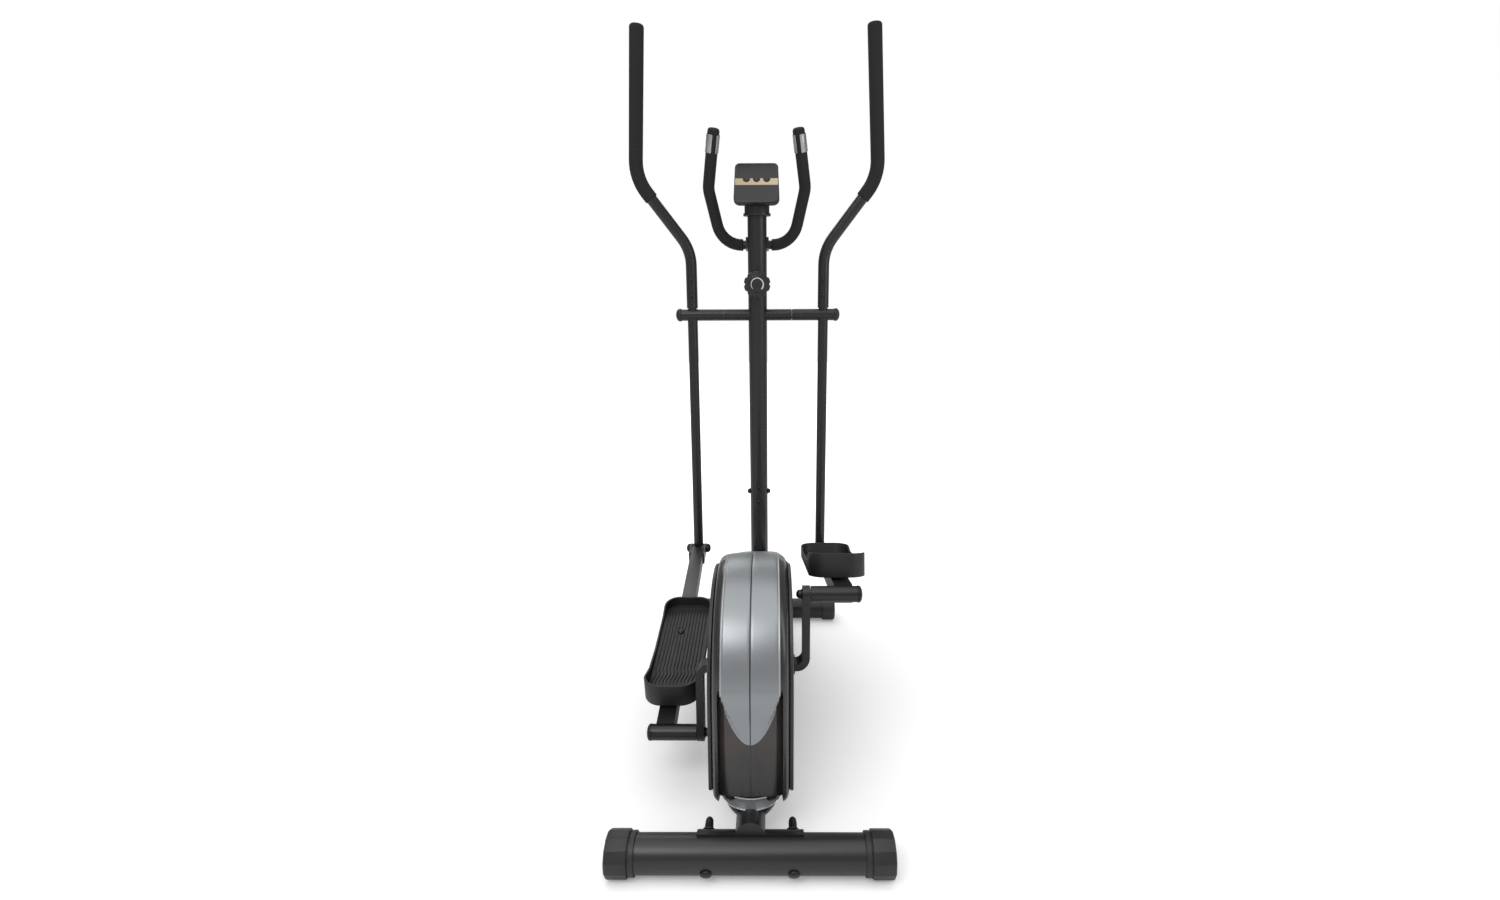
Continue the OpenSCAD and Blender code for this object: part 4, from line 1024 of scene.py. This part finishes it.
# ---------------------------------------------------------------------------
# The moving handles: a swing arm on the cross axle each side, and a bent handle socketed on it,
# with a long foam grip that starts just before the upper bend.
swing_turn = {"left": radians(3.1172968), "right": radians(3.2932554)}


def swung(side, x, y, z):
    """A point in a swing arm's own frame, in millimetres from its pivot."""
    a = swing_turn[side]
    return place(sides[side] * x, pivot_y + y * cos(a) - z * sin(a), pivot_z + y * sin(a) + z * cos(a))


cover(coat, "swing_arm_left", "swing_arm_right", "handle_left", "handle_right")
for side in sides:
    line = bent([(168, 0, 17), (168, 0, 160), (296, -20, 328), (273, -55, 644)], 110, 8)
    ahead = (line[-1] - line[-2]).normalized()
    line = [line[9] + (line[10] - line[9]) * 0.86] + line[10:] + [line[-1] + ahead * 2]
    path, radii = foam_sleeve(line, 16.9, crown=7.6)
    made = hose([swung(side, *p) for p in path], [r / 1000 for r in radii])
    piece("handle_foam_" + side, "swing_" + side, foam, made, "handle_grip_" + side,
                    slot="foam", sharp=60.0)
    eased("handle_bolts_" + side, "swing_" + side, zinc, 0.0005, "black_zinc")


# ---------------------------------------------------------------------------
# The cranks and pedal tubes: flat arms with a plain pale patch each, tubes in the same coat, and
# domed bolts at both ends of each tube.
def arm_coat():
    material, spot, shader = blank_finish("arm_coat")
    axle = place(0, *axle_spot)
    z = abs(spot.part("Z") - axle.z)
    y = abs(spot.part("Y") - axle.y)
    x = abs(spot.part("X"))
    patch = z.between(0.046, 0.086, 0.0005) * (1.0 - y.step(0.0095, 0.0100)) * x.step(0.0990, 0.0994)
    peel = spot.noise(650.0, 2.0)
    dress(spot, shader, patch.tint((0.009, 0.0092, 0.010), (0.55, 0.55, 0.54)),
          0.3 + peel * 0.12 + patch * 0.1, 0.0, peel, 0.00022)
    return material


cover(arm_coat(), "crank_arm_left", "crank_arm_right")
cover(steel, "crank_axle")
eased("crank_nuts", "crank", zinc, 0.0006, "black_zinc")
cover(coat, "pedal_tube_left", "pedal_tube_right")
for side in sides:
    eased("pedal_bolts_" + side, "pedal_link_" + side, zinc, 0.0005, "black_zinc")
    eased("pivot_bolts_" + side, "pedal_link_" + side, zinc, 0.0008, "black_zinc")


# ---------------------------------------------------------------------------
# The pedals: moulded trays, high round the heel and low at the toe. A node tree lays ribs along
# the tread: straight at the toe, wavy in the rear third, and broken round the two bolts.
crank_reach = 130
link_turn = {"left": radians(11.4456573), "right": radians(-10.5885208)}
pedal_x, pedal_start = 154, 42
tread_z = 27.3
pedal_bolts = (70, 260)


def linked(side, x, y, z):
    """A point in a pedal tube's own frame, in millimetres from its crank pin."""
    sign, a = sides[side], link_turn[side]
    return place(sign * x, axle_spot[0] + y * cos(a) - z * sin(a),
                 axle_spot[1] + sign * crank_reach + y * sin(a) + z * cos(a))


def tread_black():
    material, spot, shader = blank_finish("tread_black")
    grain = spot.noise(1400.0)
    scuffs = spot.noise(35.0)
    dress(spot, shader, scuffs.tint((0.0075, 0.0075, 0.008), (0.015, 0.015, 0.016)),
          0.42 + grain * 0.18, 0.0, grain, 0.00015)
    return material


def rib_tree(material):
    """Sweeps a round rib along every line of the carrier."""
    tree = bpy.data.node_groups.new("tread_ribs", "GeometryNodeTree")
    face = tree.interface
    face.new_socket("Lines", in_out="INPUT", socket_type="NodeSocketGeometry")
    face.new_socket("Rib Radius", in_out="INPUT", socket_type="NodeSocketFloat")
    face.new_socket("Ribs", in_out="OUTPUT", socket_type="NodeSocketGeometry")
    node, link = tree.nodes.new, tree.links.new
    given, made = node("NodeGroupInput"), node("NodeGroupOutput")
    curve, ring = node("GeometryNodeMeshToCurve"), node("GeometryNodeCurvePrimitiveCircle")
    ring.inputs["Resolution"].default_value = 10
    swept, real = node("GeometryNodeCurveToMesh"), node("GeometryNodeRealizeInstances")
    swept.inputs["Fill Caps"].default_value = True
    coated = node("GeometryNodeSetMaterial")
    coated.inputs["Material"].default_value = material
    link(given.outputs["Lines"], curve.inputs["Mesh"])
    link(given.outputs["Rib Radius"], ring.inputs["Radius"])
    link(curve.outputs["Curve"], swept.inputs["Curve"])
    link(ring.outputs["Curve"], swept.inputs["Profile Curve"])
    link(swept.outputs["Mesh"], real.inputs["Geometry"])
    link(real.outputs["Geometry"], coated.inputs["Geometry"])
    link(coated.outputs["Geometry"], made.inputs["Ribs"])
    return tree


def on_tread(x, y):
    """Whether a rib can run here: inside the wall's round corners and clear of both bolts."""
    along = y - pedal_start
    half = 47 - 0.02 * max(0, 44 - along) ** 2 - 0.03 * max(0, along - 288) ** 2
    clear = all(hypot(x - 158 - bolt / 68, y - bolt) > 10.5 for bolt in pedal_bolts)
    return clear and abs(x - pedal_x) < half


def tread_lines(side):
    corners, edges = [], []
    for row in range(-6, 7):
        unbroken = False
        for along in range(14, 296, 2):
            y = pedal_start + along
            x = pedal_x + row * 6.9 + 2.4 * sin(along / 7.5) * (1 - smooth(along, 88, 112))
            if on_tread(x, y):
                corners.append(linked(side, x, y, tread_z))
                if unbroken:
                    edges.append((len(corners) - 2, len(corners) - 1))
            unbroken = on_tread(x, y)
    mesh = bpy.data.meshes.new("tread_lines")
    mesh.from_pydata(corners, edges, [])
    carrier = bpy.data.objects.new("tread_lines", mesh)
    bpy.context.scene.collection.objects.link(carrier)
    return carrier


tread = tread_black()
ribs = rib_tree(tread)
for side in sides:
    eased("pedal_" + side, "pedal_link_" + side, tread, 0.0009, "black_plastic")
    realised("tread_ribs_" + side, "pedal_link_" + side, tread_lines(side), ribs,
             {"Rib Radius": 0.0014}, slot="black_plastic")


# ---------------------------------------------------------------------------
# The drive inside the housing: moulded pulleys, a ribbed rubber belt, bright bearings, a cast
# flywheel turned on its rim, and the bracket that carries the brake's magnets.
fly_spot = (590, 185)


def belt_black():
    material, spot, shader = blank_finish("belt_black")
    ribs_across = (spot.part("X") * 2600.0).maths("SINE")
    grain = spot.noise(400.0)
    dress(spot, shader, grain.tint((0.008, 0.008, 0.008), (0.018, 0.018, 0.018)),
          0.6 + grain * 0.15, 0.0, ribs_across, 0.0004)
    return material


def cast_wheel():
    material, spot, shader = blank_finish("cast_wheel")
    middle = place(0, *fly_spot)
    y, z = spot.part("Y") - middle.y, spot.part("Z") - middle.z
    radius = (y * y + z * z) ** 0.5
    turned_rim = radius.step(0.0815, 0.083)
    rough = spot.noise(260.0)
    dress(spot, shader, turned_rim.tint((0.045, 0.046, 0.05), (0.42, 0.43, 0.44)),
          0.55 - turned_rim * 0.27 + rough * 0.12, 0.4 + turned_rim * 0.6,
          rough * (1.0 - turned_rim), 0.0005)
    return material


cover(moulded_black("pulley_black"), "drive_pulley", "idler_roller")
cover(belt_black(), "drive_belt")
cover(steel, "bearings", "flywheel_axle")
cover(cast_wheel(), "flywheel")
cover(zinc, "magnet_bracket")
